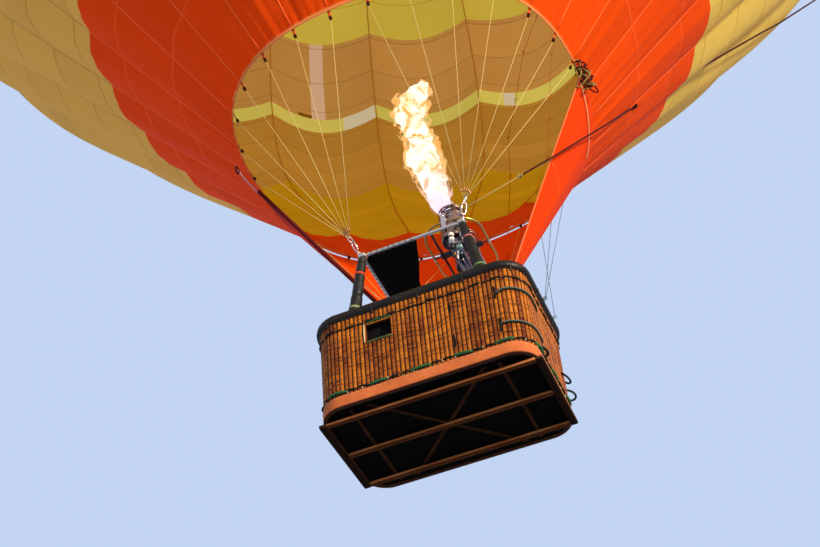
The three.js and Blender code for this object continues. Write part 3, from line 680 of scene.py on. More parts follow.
def brushedSteel(name, colour, roughness, soot=0):
    # stainless tube, mill finished: fine scratches along it spread the highlight
    material, add, coords = newMaterial(name)
    scratches = add("TexNoise", {"Vector": coords, "Scale": 600.0, "Detail": 2.0})
    smears = add("TexNoise", {"Vector": coords, "Scale": 14.0, "Detail": 4.0})
    dull = add("MapRange", {0: smears, 1: 0.3, 2: 0.7, 3: roughness * 0.8, 4: roughness * 1.5})
    base = add("Mix", {0: smears, 6: colour, 7: darker(colour, 0.7)}, 2, data_type="RGBA")
    if soot:
        smoke = add("TexNoise", {"Vector": coords, "Scale": 16.0, "Detail": 5.0, "Roughness": 0.6})
        smoke = add("MapRange", {0: smoke, 1: 0.5, 2: 0.62, 4: soot})
        base = add("Mix", {0: smoke, 6: base, 7: "2C2228"}, 2, data_type="RGBA")
    bump = add("Bump", {"Height": scratches, "Strength": 0.06, "Distance": 0.001})
    return finished(material, add("BsdfPrincipled", {
        "Base Color": base, "Metallic": 1.0, "Roughness": dull, "Normal": bump}))


def ovalRing(centre, along, out, halfLength, halfWidth, bar, sides=10):
    # a closed loop of round bar whose centre line is a long superellipse
    along, out = np.array(along, float), np.array(out, float)
    along /= np.linalg.norm(along)
    out -= along * (out @ along)
    out /= np.linalg.norm(out)
    turn = fullTurn(28)
    a, b = eased(np.cos(turn), 0.7) * halfLength, eased(np.sin(turn), 0.8) * halfWidth
    path = np.array(centre, float) + a[:, None] * along + b[:, None] * out
    return tube(path, bar, sides=sides, closed=True, across=np.cross(along, out))


def makeRigging(steel):
    wireMaterials = [paleSleeve(), brushedSteel("copperFerrule", "B98A5C", 0.4)]
    thimbleR, thimbleZ = mouth["thimble"]
    bar = rigging["karabinerBar"]
    for name, signX, signY in corners:
        gather = np.array(rigging["gather"]) * (signX, signY, 1)
        wires, ferrules = [], []
        for angle in tapeAngle(np.arange(envelope["gores"])):
            if np.sign(np.cos(angle)) != signX or np.sign(np.sin(angle)) != signY:
                continue
            top = squareUp(polar(thimbleR - 0.014, angle, thimbleZ - 0.02))
            away = (top - gather) / np.linalg.norm(top - gather)
            wires.append(tube(straight(gather + away * 0.03, top, 3), rigging["wire"], sides=6))
            ferrules.append(tube(straight(gather + away * 0.085, gather + away * 0.135, 4),
                                 rigging["ferrule"] * np.array([0.8, 1, 1, 0.8]), slot=1))
        makePiece("wires_" + name, wires + ferrules, wireMaterials, replaces="wire_fan_" + name)
        foot = np.array(rigging["frameCorner"]) * (signX, signY, 1)
        link, diagonal, outward = gather - foot, (signX, signY, 0), (signX, -signY, 0)
        middle = foot + 0.5 * link
        gate = middle - rigging["gateAside"] * np.array(outward) / 1.414
        rings = [
            ovalRing(gather, link, diagonal, 0.036, 0.024, bar),
            ovalRing(middle, link, outward, 0.064, 0.026, bar),
            ovalRing(foot - 0.1 * link, link, diagonal, 0.034, 0.02, bar),
            tube(straight(gate + 0.3 * link, gate - 0.25 * link, 3), 0.0085)]
        makePiece("karabiner_" + name, rings, steel, replaces="corner_link_" + name)


steel = brushedSteel("stainlessTube", "E8DCD8", 0.3)
makeMouth()
makeScoop()
makeRigging(steel)
print("mouth, scoop and rigging made")


# Load frame: stainless tube, a cross tube beside the burner and a plate at each corner
loadFrame = {
    "halfX": 0.536,
    "halfY": 0.540,
    "z": 1.994,
    "tube": 0.017,
    "bend": 0.070,
    "crossX": 0.2,
    "crossTube": 0.013,
    "plateHalf": 0.036,
    "plateHalfHeight": 0.022,
    "plateShift": 0.002,
}


def atCorners(shape, x, y, z):
    # the shape moved to the four corners, not turned
    return joinShapes([placed(shape, (sx * x, sy * y, z)) for _, sx, sy in corners])


def boxBetween(one, other, edge=0.003, slot=0):
    # a box from one corner to the opposite one, given in any order
    one, other = np.array(one, float), np.array(other, float)
    half = np.abs(other - one) / 2
    box = roundedBox(half[0], half[1], half[2], min(edge, 0.45 * half.min()), slot=slot)
    return placed(box, (one + other) / 2)


def makeLoadFrame(steel):
    z, halfX, halfY = loadFrame["z"], loadFrame["halfX"], loadFrame["halfY"]
    outline = roundedOutline(halfX, halfY, loadFrame["bend"], 8)
    path = np.concatenate([outline, np.full((len(outline), 1), z)], 1)
    shapes = [tube(path, loadFrame["tube"], sides=20, closed=True, across=(0, 0, 1))]
    crossX, crossTube = loadFrame["crossX"], loadFrame["crossTube"]
    shapes.append(tube(straight((crossX, -halfY, z), (crossX, halfY, z), 3), crossTube, sides=16, slot=1))
    weld = np.array([1.0, 1.28, 1.34, 1.28, 1.0])
    for sign in (-1, 1):
        start = (crossX, sign * (halfY - loadFrame["tube"] + 0.004), z)
        end = (crossX, sign * (halfY - loadFrame["tube"] - 0.008), z)
        shapes.append(tube(straight(start, end, 5), crossTube * weld, sides=16))
    half, halfHeight = loadFrame["plateHalf"], loadFrame["plateHalfHeight"]
    plateX, plateY = halfX + loadFrame["plateShift"], halfY + loadFrame["plateShift"]
    shapes.append(atCorners(roundedBox(half, half, halfHeight, 0.010), plateX, plateY, z - 0.0025))
    bolt = spun([(0.0005, 0), (0.009, 0), (0.009, 0.006), (0.0005, 0.0075)], 6)
    for dx, dy in ((-0.02, -0.02), (0.02, 0.02)):
        shapes.append(atCorners(bolt, plateX + dx, plateY + dy, z + halfHeight - 0.003))
    # the sockets that the uprights' heads go into
    for _, sx, sy in corners:
        head = np.array([sx * 0.542, sy * 0.540, z - 0.02])
        foot = head + (sx * 0.0118, sy * 0.0004, -0.07)
        shapes.append(tube(straight(head, foot, 4), 0.024, sides=16))
    # the cross tube's dark red-brown colour is painted shade
    makePiece("loadFrameTubes", shapes, [steel, flatMetal("crossTubeShade", "4A1C14", 0.4, 0.5)],
              replaces="load_frame")


heatShield = {
    "edge": 0.515,
    "side": 0.519,
    "bite": 0.046,
    "freeEdge": [(-0.519, 0.036), (-0.2, -0.062), (0.06, -0.166), (0.519, -0.212)],    # y, x
    "sag": 0.022,
    "hem": 0.006,
    "lacePitch": 0.062,
    "lace": 0.0024,
}


def heatCloth():
    # heat-proof woven cloth, sooty black and quite matt, with a coarse twill
    return woven("heatCloth", "060506", "141214", {"Scale": 80.0, "Distortion": 1.2}, 0.95, 0.1,
                 {"Strength": 0.4, "Distance": 0.001}, {"Scale": 7.0, "Detail": 4.0})


def makeHeatShield():
    side, edge, z = heatShield["side"], heatShield["edge"], loadFrame["z"]
    place, reach = np.linspace(-side, side, 60), np.linspace(0, 1, 40)
    freeY, freeX = np.array(heatShield["freeEdge"]).T
    left = -edge + np.clip(heatShield["bite"] - (side - np.abs(place)), 0, None)
    right = np.interp(place, freeY, freeX)
    # height = frame height - sag * sin(pi * s) * sin(pi * t), with a few slack ripples
    s, t = np.meshgrid((place + side) / (2 * side), reach, indexing="ij")
    x = left[:, None] + (right - left)[:, None] * t
    y = np.broadcast_to(place[:, None], x.shape)
    slack = np.sin(np.pi * s) * np.sin(np.pi * np.clip(t, 0, 1))
    height = z - heatShield["sag"] * slack + 0.006 * slack * ripple(9 * s + 5 * t, 1.0)
    points = np.stack([x, y, height], -1)
    cloth = heatCloth()
    shape = flipped(gridShape(points))
    piece = makePiece("heatShieldCloth", shape, cloth, replaces="heat_shield")
    hems = [tube(points[:, column], heatShield["hem"], flat=0.7, across=(0, 0, 1)) for column in (0, -1)]
    hems += [tube(points[row], heatShield["hem"], flat=0.7, across=(0, 0, 1)) for row in (0, -1)]
    makePiece("heatShieldHem", hems, cloth)
    laces = []
    for y0 in np.arange(-side + 0.09, side - 0.06, heatShield["lacePitch"]):
        middle = (-(loadFrame["halfX"] + edge) / 2 + 0.001, y0, z - 0.001)
        laces.append(ovalRing(middle, (1, 0.12, 0), (0, 0, 1), 0.034, 0.0215, heatShield["lace"], 6))
    for sign in (-1, 1):
        stop = right[0 if sign < 0 else -1]
        for x0 in np.arange(-edge + 0.08, stop - 0.03, heatShield["lacePitch"]):
            middle = (x0, sign * ((loadFrame["halfY"] + side) / 2 - 0.001), z - 0.001)
            laces.append(ovalRing(middle, (0.12, 1, 0), (0, 0, 1), 0.034, 0.0215, heatShield["lace"], 6))
    makePiece("shieldLacing", laces, webbing("laceCord", "3A3A3E", 0.003))


# Uprights: nylon rods inside padded leather sleeves, zipped on and cinched with webbing bands
uprights = {
    "foot": (0.702, 0.545, 1.010),
    "head": (0.542, 0.540, 1.956),
    "radius": 0.0455,
    "taper": 0.6,    # share by which the padding is thicker at the foot
    "rows": 90,
    "sides": 28,
    "cinches": (0.05, 0.5, 0.95),
}
# Columns: corner, share of the way up, colour, half width
bands = [
    ("near_left", 0.775, "C8402C", 0.016), ("near_right", 0.775, "B86A66", 0.013),
    ("near_left", 0.31, "8A946C", 0.016), ("near_right", 0.32, "5E7A4E", 0.018),
    ("far_left", 0.25, "4E5A26", 0.014), ("far_right", 0.25, "4E5A26", 0.014),
]


def greenLeather(name, colour="0C0E0A", worn="20241C"):
    # dyed cowhide over foam: fine grain, a soft sheen on the bends, scuffed paler where hands rub
    material, add, coords = newMaterial(name)
    grain = add("TexVoronoi", {"Vector": coords, "Scale": 240.0})
    creases = add("TexNoise", {"Vector": coords, "Scale": 26.0, "Detail": 5.0, "Roughness": 0.6})
    scuffs = add("TexNoise", {"Vector": coords, "Scale": 6.0, "Detail": 6.0, "Roughness": 0.65})
    scuffed = add("MapRange", {0: scuffs, 1: 0.5, 2: 0.72})
    base = add("Mix", {0: scuffed, 6: colour, 7: worn}, 2, data_type="RGBA")
    rough = add("MapRange", {0: scuffed, 3: 0.45, 4: 0.7})
    lift = add("Math", {0: grain, 1: 0.12, 2: creases}, operation="MULTIPLY_ADD")
    bump = add("Bump", {"Height": lift, "Strength": 0.5, "Distance": 0.004})
    return finished(material, add("BsdfPrincipled", {
        "Base Color": base, "Roughness": rough, "Normal": bump, "Specular IOR Level": 0.3}))


def sleevePath(signX, signY, count):
    foot = np.array(uprights["foot"]) * (signX, signY, 1)
    head = np.array(uprights["head"]) * (signX, signY, 1)
    return straight(foot, head, count)


def sleeveRadius(share):
    # the padding is wrapped thicker towards the basket
    return (uprights["radius"] - 0.002) * (1 + uprights["taper"] * (1 - share))


def makeUprights(leather):
    share = np.linspace(0, 1, uprights["rows"])
    pinch = sum(np.exp(-((share - c) / 0.02) ** 2) for c in uprights["cinches"])
    for number, (name, signX, signY) in enumerate(corners):
        path = sleevePath(signX, signY, uprights["rows"])
        rounding = np.clip(np.minimum(share, 1 - share) / 0.012, 0.05, 1) ** 0.5
        wrinkles = 0.0016 * ripple(60 * share, number + 0.4) + 0.0010 * ripple(160 * share, number)
        radius = (sleeveRadius(share) + wrinkles - 0.0055 * pinch) * rounding
        shape = tube(path, radius, sides=uprights["sides"])
        # shallow folds that turn round the sleeve: each point moves along its own radius
        core = len(path) * uprights["sides"]
        ring = shape["points"][:core].reshape(len(path), uprights["sides"], 3)
        angle = fullTurn(uprights["sides"])
        turned = np.sin(3 * angle[None] + 40 * share[:, None] + number)
        fold = 1 + 0.018 * turned * np.sin(np.pi * share)[:, None]
        shape["points"] = (path[:, None] + (ring - path[:, None]) * fold[..., None]).reshape(-1, 3)
        piece = makePiece("sleeve_" + name, shape, leather, replaces="upright_" + name)
        # the zip's flap down the side that faces the basket's middle
        inward = np.array([-signX, -signY, 0]) / math.sqrt(2)
        flapPath = path[3:-3] + inward * (radius[3:-3, None] - 0.001)
        makePiece("sleeveFlap_" + name, tube(flapPath, 0.008, flat=0.35, across=inward), leather)
    colours = sorted({colour for _, _, colour, _ in bands})
    wraps = []
    for name, at, colour, half in bands:
        signX, signY = next((sx, sy) for corner, sx, sy in corners if corner == name)
        path = sleevePath(signX, signY, 1001)
        middle, along = path[int(at * 1000)], (path[-1] - path[0]) / np.linalg.norm(path[-1] - path[0])
        line = straight(middle - along * half, middle + along * half, 5)
        wraps.append(tube(line, sleeveRadius(at) + np.array([-0.002, 0.004, 0.0045, 0.004, -0.002]), sides=28,
                          slot=colours.index(colour)))
    makePiece("sleeveBands", wraps, [webbing("band" + c, c) for c in colours])


# Burner: two cans on one valve block, in a gimbal ring hung between the frame's stanchions
burner = {
    "x": 0.35,
    "z": 2.17,
    "ring": (0.300, 0.450, 0.240, 0.0115),     # half x, half y, bend, tube radius
    "canY": 0.200,
    "canRadius": 0.139,
    "canBase": 2.10,
    "canTop": 2.520,
    "canThick": 0.0025,
    "coilRadius": 0.104,
    "coilTube": 0.0085,
    "block": (0.055, 0.290, 1.937, 2.099),
    # the ring's bearing blocks, which leave a hole for the pin: lowest and highest y and z from its axis
    "cheeks": [((-0.024, -0.0200), (0.024, -0.0095)), ((-0.024, 0.0095), (0.024, 0.0200)),
               ((-0.024, -0.0195), (-0.0095, 0.0195)), ((0.0095, -0.0195), (0.024, 0.0195))],
}
# Openings in a can's side: middle angles in degrees, height over the can's base, half angle, half height;
# the first row is the windows between its upper struts, where the coil shows
canSlots = [
    ((-90, -30, 30, 90, 150, -150), 0.362, 24, 0.030),
    ((-112, -150, -20, 60, 155), 0.235, 5.5, 0.028),
    ((-84, 20, 110), 0.290, 8.0, 0.012),
    ((-112, -65, -20, 25, 70, 115, 160, -155), 0.075, 6.0, 0.016),
]


def stainedSteel():
    # stainless that has been red hot: brown and blue temper colours under soot
    material, add, coords = newMaterial("temperedSteel")
    heat = add("TexNoise", {"Vector": coords, "Scale": 18.0, "Detail": 4.0})
    base = add("Mix", {0: heat, 6: "3A3530", 7: "4A3E5A"}, 2, data_type="RGBA")
    rough = add("MapRange", {0: heat, 3: 0.35, 4: 0.75})
    bump = add("Bump", {"Height": heat, "Strength": 0.15, "Distance": 0.001})
    return finished(material, add("BsdfPrincipled", {
        "Base Color": base, "Metallic": 0.85, "Roughness": rough, "Normal": bump}))


def flatMetal(name, colour, roughness, metallic=1.0):
    # anodised or painted fitting: even colour, faint smears in the gloss
    material, add, coords = newMaterial(name)
    smears = add("TexNoise", {"Vector": coords, "Scale": 30.0, "Detail": 3.0})
    rough = add("MapRange", {0: smears, 3: roughness * 0.7, 4: roughness * 1.4})
    base = add("Mix", {0: smears, 6: colour, 7: darker(colour, 0.75)}, 2, data_type="RGBA")
    return finished(material, add("BsdfPrincipled", {
        "Base Color": base, "Metallic": metallic, "Roughness": rough}))


def makeGimbal(gold, steel):
    x, z = burner["x"], burner["z"]
    halfX, halfY, bend, bar = burner["ring"]
    outline = roundedOutline(halfX, halfY, bend, 14) + (x, 0)
    path = np.concatenate([outline, np.full((len(outline), 1), z)], 1)
    shapes = [tube(path, bar, sides=16, closed=True, across=(0, 0, 1))]
    for sign in (-1, 1):
        for start, end, thick in ((halfY, 0.549, 0.0078), (0.468, 0.482, 0.015)):
            pin = straight((x, sign * start, z), (x, sign * end, z), 3)
            shapes.append(tube(pin, thick, sides=16, slot=1))
        side = x + sign * halfX
        for low, high in burner["cheeks"]:
            shapes.append(boxBetween((side - 0.009, low[0], z + low[1]),
                                     (side + 0.009, high[0], z + high[1]), slot=1))
    makePiece("gimbalRingTube", shapes, [gold, steel], body="gimbal", replaces="gimbal_ring")


def canShape(y):
    # the can's side is a grid of cells, and the cells inside a slot are left out
    around, rows = 120, 60
    angle = 2 * np.pi * np.arange(around) / around
    height = np.linspace(0, burner["canTop"] - burner["canBase"], rows)
    radius = burner["canRadius"] - 0.0015 * np.sin(np.pi * height / height[-1])
    radius = radius + 0.0035 * np.exp(-((height - 0.33) / 0.006) ** 2)
    radius = radius - 0.012 * np.clip(1 - height / 0.03, 0, 1) ** 2
    points = polar(radius[:, None], angle, (burner["canBase"] + height)[:, None]) + (burner["x"], y, 0)
    cellAngle = np.degrees(angle + np.pi / around)[None]
    cellHeight = ((height[1:] + height[:-1]) / 2)[:, None]
    keep = np.ones((rows - 1, around), bool)
    for middles, up, halfAngle, halfHeight in canSlots:
        # the narrow slots lean
        slant = 0.35 * (cellHeight - up) / 0.028 * halfAngle if halfAngle < 6 else 0
        for middle in middles:
            away = (cellAngle - middle + 180) % 360 - 180
            keep &= ~((np.abs(away - slant) < halfAngle) & (np.abs(cellHeight - up) < halfHeight))
    return keepFaces(gridShape(points, wrapColumns=True), keep.reshape(-1))


def makeCans(stained):
    x, base, top, radius = burner["x"], burner["canBase"], burner["canTop"], burner["canRadius"]
    metal = brushedSteel("canSteel", "AC8E84", 0.26, soot=0.9)
    # rolled rim, floor pan, and the hub under the coil
    edge = fullTurn(10)
    rolled = np.stack([radius - 0.002 + 0.0035 * np.cos(edge), top - 0.004 + 0.0035 * np.sin(edge)], 1)
    fittings = [
        spun(rolled, 64, ring=True),
        spun([(0.001, base + 0.004), (radius - 0.016, base + 0.004), (radius - 0.008, base + 0.012),
              (radius - 0.008, base + 0.05), (radius - 0.014, base + 0.058), (0.001, base + 0.058)], 48,
              slot=1),
        spun([(0.03, base + 0.055), (0.03, base + 0.09), (0.05, base + 0.094), (0.05, base + 0.104),
              (0.001, base + 0.106)], 32, slot=1)]
    # the vaporising coil: one tube wound up inside the can in turns that taper at the top, on four legs
    turn = np.linspace(0, 2 * np.pi * 7.5, 7 * 26)
    share = turn / turn[-1]
    wind = burner["coilRadius"] - 0.020 * np.clip((share - 0.72) / 0.28, 0, 1) ** 1.5
    feed = [(0.060, 0, base - 0.01), (0.085, 0, base + 0.07), (wind[0], 0, base + 0.10)]
    coil = [tube(polar(wind, turn, base + 0.10 + 0.365 * share), burner["coilTube"], sides=10,
                 across=(0, 0, 1)), tube(smoothPath(feed, 12), 0.0085, sides=10)]
    coil += [tube(straight(polar(0.116, a, base + 0.06), polar(0.116, a, base + 0.45), 4), 0.005)
             for a in np.pi * (np.arange(4) + 0.5) / 2]
    for name, y in (("near", -burner["canY"]), ("far", burner["canY"])):
        can = makePiece("can_" + name, canShape(y), metal, body="burner",
                        replaces="burner_can_" + name)
        thicken = can.modifiers.new("wall", "SOLIDIFY")
        thicken.thickness = burner["canThick"]
        thicken.offset = -1
        makePiece("canRims_" + name, placed(joinShapes(fittings), (x, y, 0)), [metal, stained], body="burner")
        makePiece("coil_" + name, placed(joinShapes(coil), (x, y, 0)), stained, body="burner",
                  replaces="burner_coil_" + name)


def makeValveBlock(brass, gold, blue, black):
    # the block with its cross valve, a blast valve and handle under each can, pilot valves and gauges
    x = burner["x"]
    halfX, halfY, low, high = burner["block"]
    valve = spun([(0.001, -0.088), (0.015, -0.088), (0.020, -0.082), (0.020, -0.012), (0.032, -0.006),
                  (0.032, 0.075), (0.001, 0.075)], 24)
    pilot = spun([(0.001, -0.05), (0.012, -0.05), (0.014, -0.044), (0.014, 0.0), (0.001, 0.001)], 16, slot=2)
    wheel = spun([(0.001, -0.062), (0.016, -0.062), (0.019, -0.057), (0.016, -0.051), (0.001, -0.05)], 10,
                 slot=3)
    gauge = spun([(0.001, 0), (0.028, 0), (0.030, 0.003), (0.030, 0.016), (0.026, 0.018), (0.001, 0.018)],
                 28, slot=3)
    shapes = [
        boxBetween((x - halfX, -halfY, low + 0.06), (x + halfX, halfY, high), 0.010),
        boxBetween((x - 0.03, -0.09, low), (x + 0.03, 0.09, low + 0.07), 0.010)]
    for y in (-burner["canY"], burner["canY"]):
        lever = [(x, y + 0.008, low - 0.079), (x, y - 0.03, low - 0.078), (x, y - 0.088, low - 0.072)]
        lever = tube(smoothPath(lever, 9), 0.0085 * np.linspace(1, 1.15, 9), sides=12, slot=1)
        shapes += [placed(valve, (x, y, low)), lever]
        shapes += [placed(shape, (x + side * 0.036, y + 0.04, low + 0.062))
                   for side in (-1, 1) for shape in (pilot, wheel)]
        shapes.append(placed(gauge, (x - 0.036, y - 0.086, low + 0.10), [(1, 0, 0), (0, 0, 1), (0, -1, 0)]))
    makePiece("valveBlock", shapes, [brass, gold, blue, black], body="burner",
              replaces="burner_valve_block")


def makeHoses(black, steel):
    x, y0 = burner["x"], burner["canY"]
    # black hoses loop from the block's ends up to the cans
    hoses = []
    for out in (-1, 1):
        y = out * y0
        loop = [(x + 0.050, y + out * 0.060, 2.03), (x + 0.104, y + out * 0.085, 2.02),
                (x + 0.136, y + out * 0.05, 2.10), (x + 0.140, y + out * 0.01, 2.20), (x + 0.138, y, 2.26)]
        hoses.append(tube(smoothPath(loop, 36), 0.0085, sides=10))
        hoses.append(tube(straight((x + 0.128, y, 2.24), (x + 0.128, y, 2.32), 4), 0.012, sides=12, slot=1))
    # before the near can: a pale pilot cylinder with a black band, its black nut, a teal tap and a bracket
    front = y0 + 0.135
    fittings = [
        spun([(0.001, 1.958), (0.024, 1.958), (0.030, 1.966), (0.030, 2.094), (0.024, 2.102),
              (0.001, 2.102)], 24, slot=2),
        spun([(0.001, 1.885), (0.021, 1.885), (0.026, 1.893), (0.026, 1.950), (0.020, 1.960),
              (0.001, 1.960)], 6),
        spun([(0.0302, 2.030), (0.0318, 2.030), (0.0318, 2.052), (0.0302, 2.052)], 24, ring=True)]
    hoses.append(placed(joinShapes(fittings), (x + 0.002, -front, 0)))
    tap = spun([(0.001, -0.032), (0.020, -0.032), (0.027, -0.022), (0.027, 0.022), (0.020, 0.032),
                (0.001, 0.032)], 20, slot=3)
    hoses.append(placed(tap, (x + 0.066, -front + 0.02, 1.900), [(0, 1, 0), (0, 0, 1), (1, 0, 0)]))
    loop = [(x + 0.02, -front, 2.090), (x + 0.04, -front - 0.005, 2.150), (x + 0.09, -front, 2.170),
            (x + 0.118, -front + 0.005, 2.110), (x + 0.10, -front + 0.010, 2.010),
            (x + 0.04, -front + 0.05, 1.990)]
    hoses.append(tube(smoothPath(loop, 40), 0.0085, sides=10))
    # the bracket's bars: two opposite corners of each, from the burner's middle and from the near can's axis
    for one, other in (
            ((0.085, -0.108, 1.985), (0.108, -0.100, 2.230)), ((0.03, -0.108, 1.985), (0.108, -0.080, 1.997)),
            ((-0.012, -0.135, 2.010), (0.022, -0.080, 2.022)),
            ((0.030, -0.123, 1.890), (0.080, -0.080, 1.912)),
            ((0.030, -0.092, 1.890), (0.050, -0.070, 2.010))):
        hoses.append(boxBetween(np.array(one) + (x, -y0, 0), np.array(other) + (x, -y0, 0), slot=1))
    pale, teal = flatMetal("paleEnamel", "E6DED8", 0.4, 0.0), flatMetal("tealTap", "7FA8A4", 0.35, 0.5)
    makePiece("burnerHoses", hoses, [black, steel, pale, teal], body="burner")


def makeBurner(steel):
    x, z = burner["x"], burner["z"]
    stained, black = stainedSteel(), flatMetal("hoseBlack", "18181A", 0.5, 0.0)
    makeCans(stained)
    cradle = [
        tube(straight((x - 0.308, 0, z), (x + 0.308, 0, z), 3), 0.0078, sides=16),
        boxBetween((x - 0.228, -0.032, z - 0.016), (x + 0.228, 0.032, z + 0.016), 0.006),
        boxBetween((x - 0.032, -0.032, 2.0995), (x + 0.032, 0.032, z), 0.004)]
    makePiece("cradleBar", cradle, stained, body="burner", replaces="burner_cradle")
    makeValveBlock(flatMetal("valveSteel", "8A8490", 0.32), flatMetal("goldHandle", "C08A2E", 0.3, 0.9),
                   flatMetal("anodisedBlue", "9AA9C9", 0.35, 0.8), black)
    makeHoses(black, steel)


# Flame: only for the pictures, so it is staged and doesn't go with the object
# Columns: height over the near can's mouth, lean towards +X, half width
flameShape = [
    (-0.03, -0.050, 0.070), (0.06, -0.087, 0.105), (0.20, -0.104, 0.135), (0.50, -0.144, 0.165),
    (0.75, -0.200, 0.185), (0.96, -0.243, 0.200), (1.20, -0.228, 0.150), (1.42, -0.285, 0.155),
    (1.65, -0.329, 0.175), (1.86, -0.299, 0.190), (2.03, -0.215, 0.140), (2.13, -0.130, 0.075),
    (2.17, -0.110, 0.012)]


def flameGlow(name, low, high, edge, strength, holes):
    # burning propane: blue-white where it leaves the coil, then yellow, and orange where it tears open
    material, add, coords = newMaterial(name)
    height = add("SeparateXYZ", {0: coords}).node.outputs[2]
    up = add("MapRange", {0: height, 1: 2.5, 2: 3.3})
    base = add("Mix", {0: up, 6: low, 7: high}, 2, data_type="RGBA")
    curls = add("TexNoise", {"Vector": coords, "Scale": 5.0, "Detail": 6.0, "Distortion": 1.2})
    torn = add("MapRange", {0: curls, 1: 0.46, 2: 0.64})
    torn = add("Math", {0: torn, 1: up}, operation="MULTIPLY")
    colour = add("Mix", {0: torn, 6: base, 7: edge}, 2, data_type="RGBA")
    glow = add("Emission", {"Color": colour, "Strength": strength})
    if holes:
        clear = add("BsdfTransparent")
        gaps = add("MapRange", {0: curls, 1: holes, 2: holes + 0.12})
        glow = add("MixShader", {0: gaps, 1: clear, 2: glow})
    return finished(material, glow)


def flamePiece(name, size, seed, rough, material):
    # lobes climb round the flame, larger towards its top
    x, y, top = burner["x"], -burner["canY"], burner["canTop"] + 0.06
    table = smoothPath(flameShape, 160)
    angle = fullTurn(80)
    height, lean, half = table[:, 0], table[:, 1], np.clip(table[:, 2], 0.004, None)
    share = ((height - height[0]) / (height[-1] - height[0]))[:, None]
    lobes = size + 0.34 * rough * share * ripple(3 * angle[None] + 9 * height[:, None], seed)
    lobes = lobes + 0.16 * rough * ripple(2 * angle[None] - 16 * height[:, None], seed - 1.4)
    lobes = lobes + 0.10 * rough * share * ripple(7 * angle[None] + 31 * height[:, None], seed)
    points = polar(half[:, None] * lobes, angle, top + height[:, None])
    points[..., 0] += x + lean[:, None]
    points[..., 1] += y
    shape = withEnds(gridShape(points, wrapColumns=True), len(height), len(angle))
    makePiece(name, shape, material, body="burner")


def makeFlame():
    flamePiece("flameCore", 0.78, 3.1, 0.8, flameGlow("flameWhite", "D4C6E0", "FFF6DC", "FFDCA4", 1.4, 0))
    flamePiece("flameEdge", 1.02, 2.0, 1.3, flameGlow("flameOrange", "C0AEDC", "FFE4AC", "FFA650", 1.25, 0.5))


leather = greenLeather("sleeveLeather")
gimbalGold = flatMetal("gimbalGold", "C9A866", 0.3)
makeLoadFrame(steel)
makeHeatShield()
makeUprights(leather)
makeGimbal(gimbalGold, steel)
makeBurner(steel)
makeFlame()
dress("gimbal_stanchion_near", steel)
dress("gimbal_stanchion_far", steel)
print("load frame, uprights and burner made")


# Basket: woven cane on a rounded outline, with ribs where the stakes stand
basket = {
    "halfX": 1.058,
    "halfY": 0.679,
    "corner": 0.250,
    "low": 0.0385,
    "high": 1.080,
    "thick": 0.032,
    "ribs": 150,
    "perRib": 6,
    "rows": 94,
    "hole": (-0.512, -0.242, 0.712, 0.927),    # x and z of the step hole
}


def wallTable():
    # the outline by distance: x, y and outward normal; it starts at the right end of the near side
    halfX, halfY, corner = basket["halfX"], basket["halfY"], basket["corner"]
    quarter = np.linspace(-np.pi / 2, 1.5 * np.pi, 257)[:-1].reshape(4, 64)
    quarter = np.concatenate([quarter, quarter[:, -1:] + np.pi / 128], 1)
    turns = [(1, -1), (1, 1), (-1, 1), (-1, -1)]
    x = np.concatenate([sx * (halfX - corner) + corner * np.cos(q) for q, (sx, sy) in zip(quarter, turns)])
    y = np.concatenate([sy * (halfY - corner) + corner * np.sin(q) for q, (sx, sy) in zip(quarter, turns)])
    nx, ny = np.cos(quarter).reshape(-1), np.sin(quarter).reshape(-1)
    x, y, nx, ny = (np.append(values, values[0]) for values in (x, y, nx, ny))
    step = np.hypot(np.diff(x), np.diff(y))
    return {"s": np.concatenate([[0], np.cumsum(step)]), "x": x, "y": y, "nx": nx, "ny": ny}


wall = wallTable()
around = float(wall["s"][-1])


def onWall(s, z, out):
    x, y, nx, ny = (np.interp(np.mod(s, around), wall["s"], wall[key]) for key in ("x", "y", "nx", "ny"))
    x, y, z = np.broadcast_arrays(x + out * nx, y + out * ny, z)
    return np.stack([x, y, z], -1)


def nearSide(x):
    # distance along the outline of a place on the near side
    return around - (basket["halfX"] - basket["corner"]) + x


def rightEnd(y):
    # distance along the outline of a place on the right end
    return basket["corner"] * np.pi / 2 + (basket["halfY"] - basket["corner"]) + y


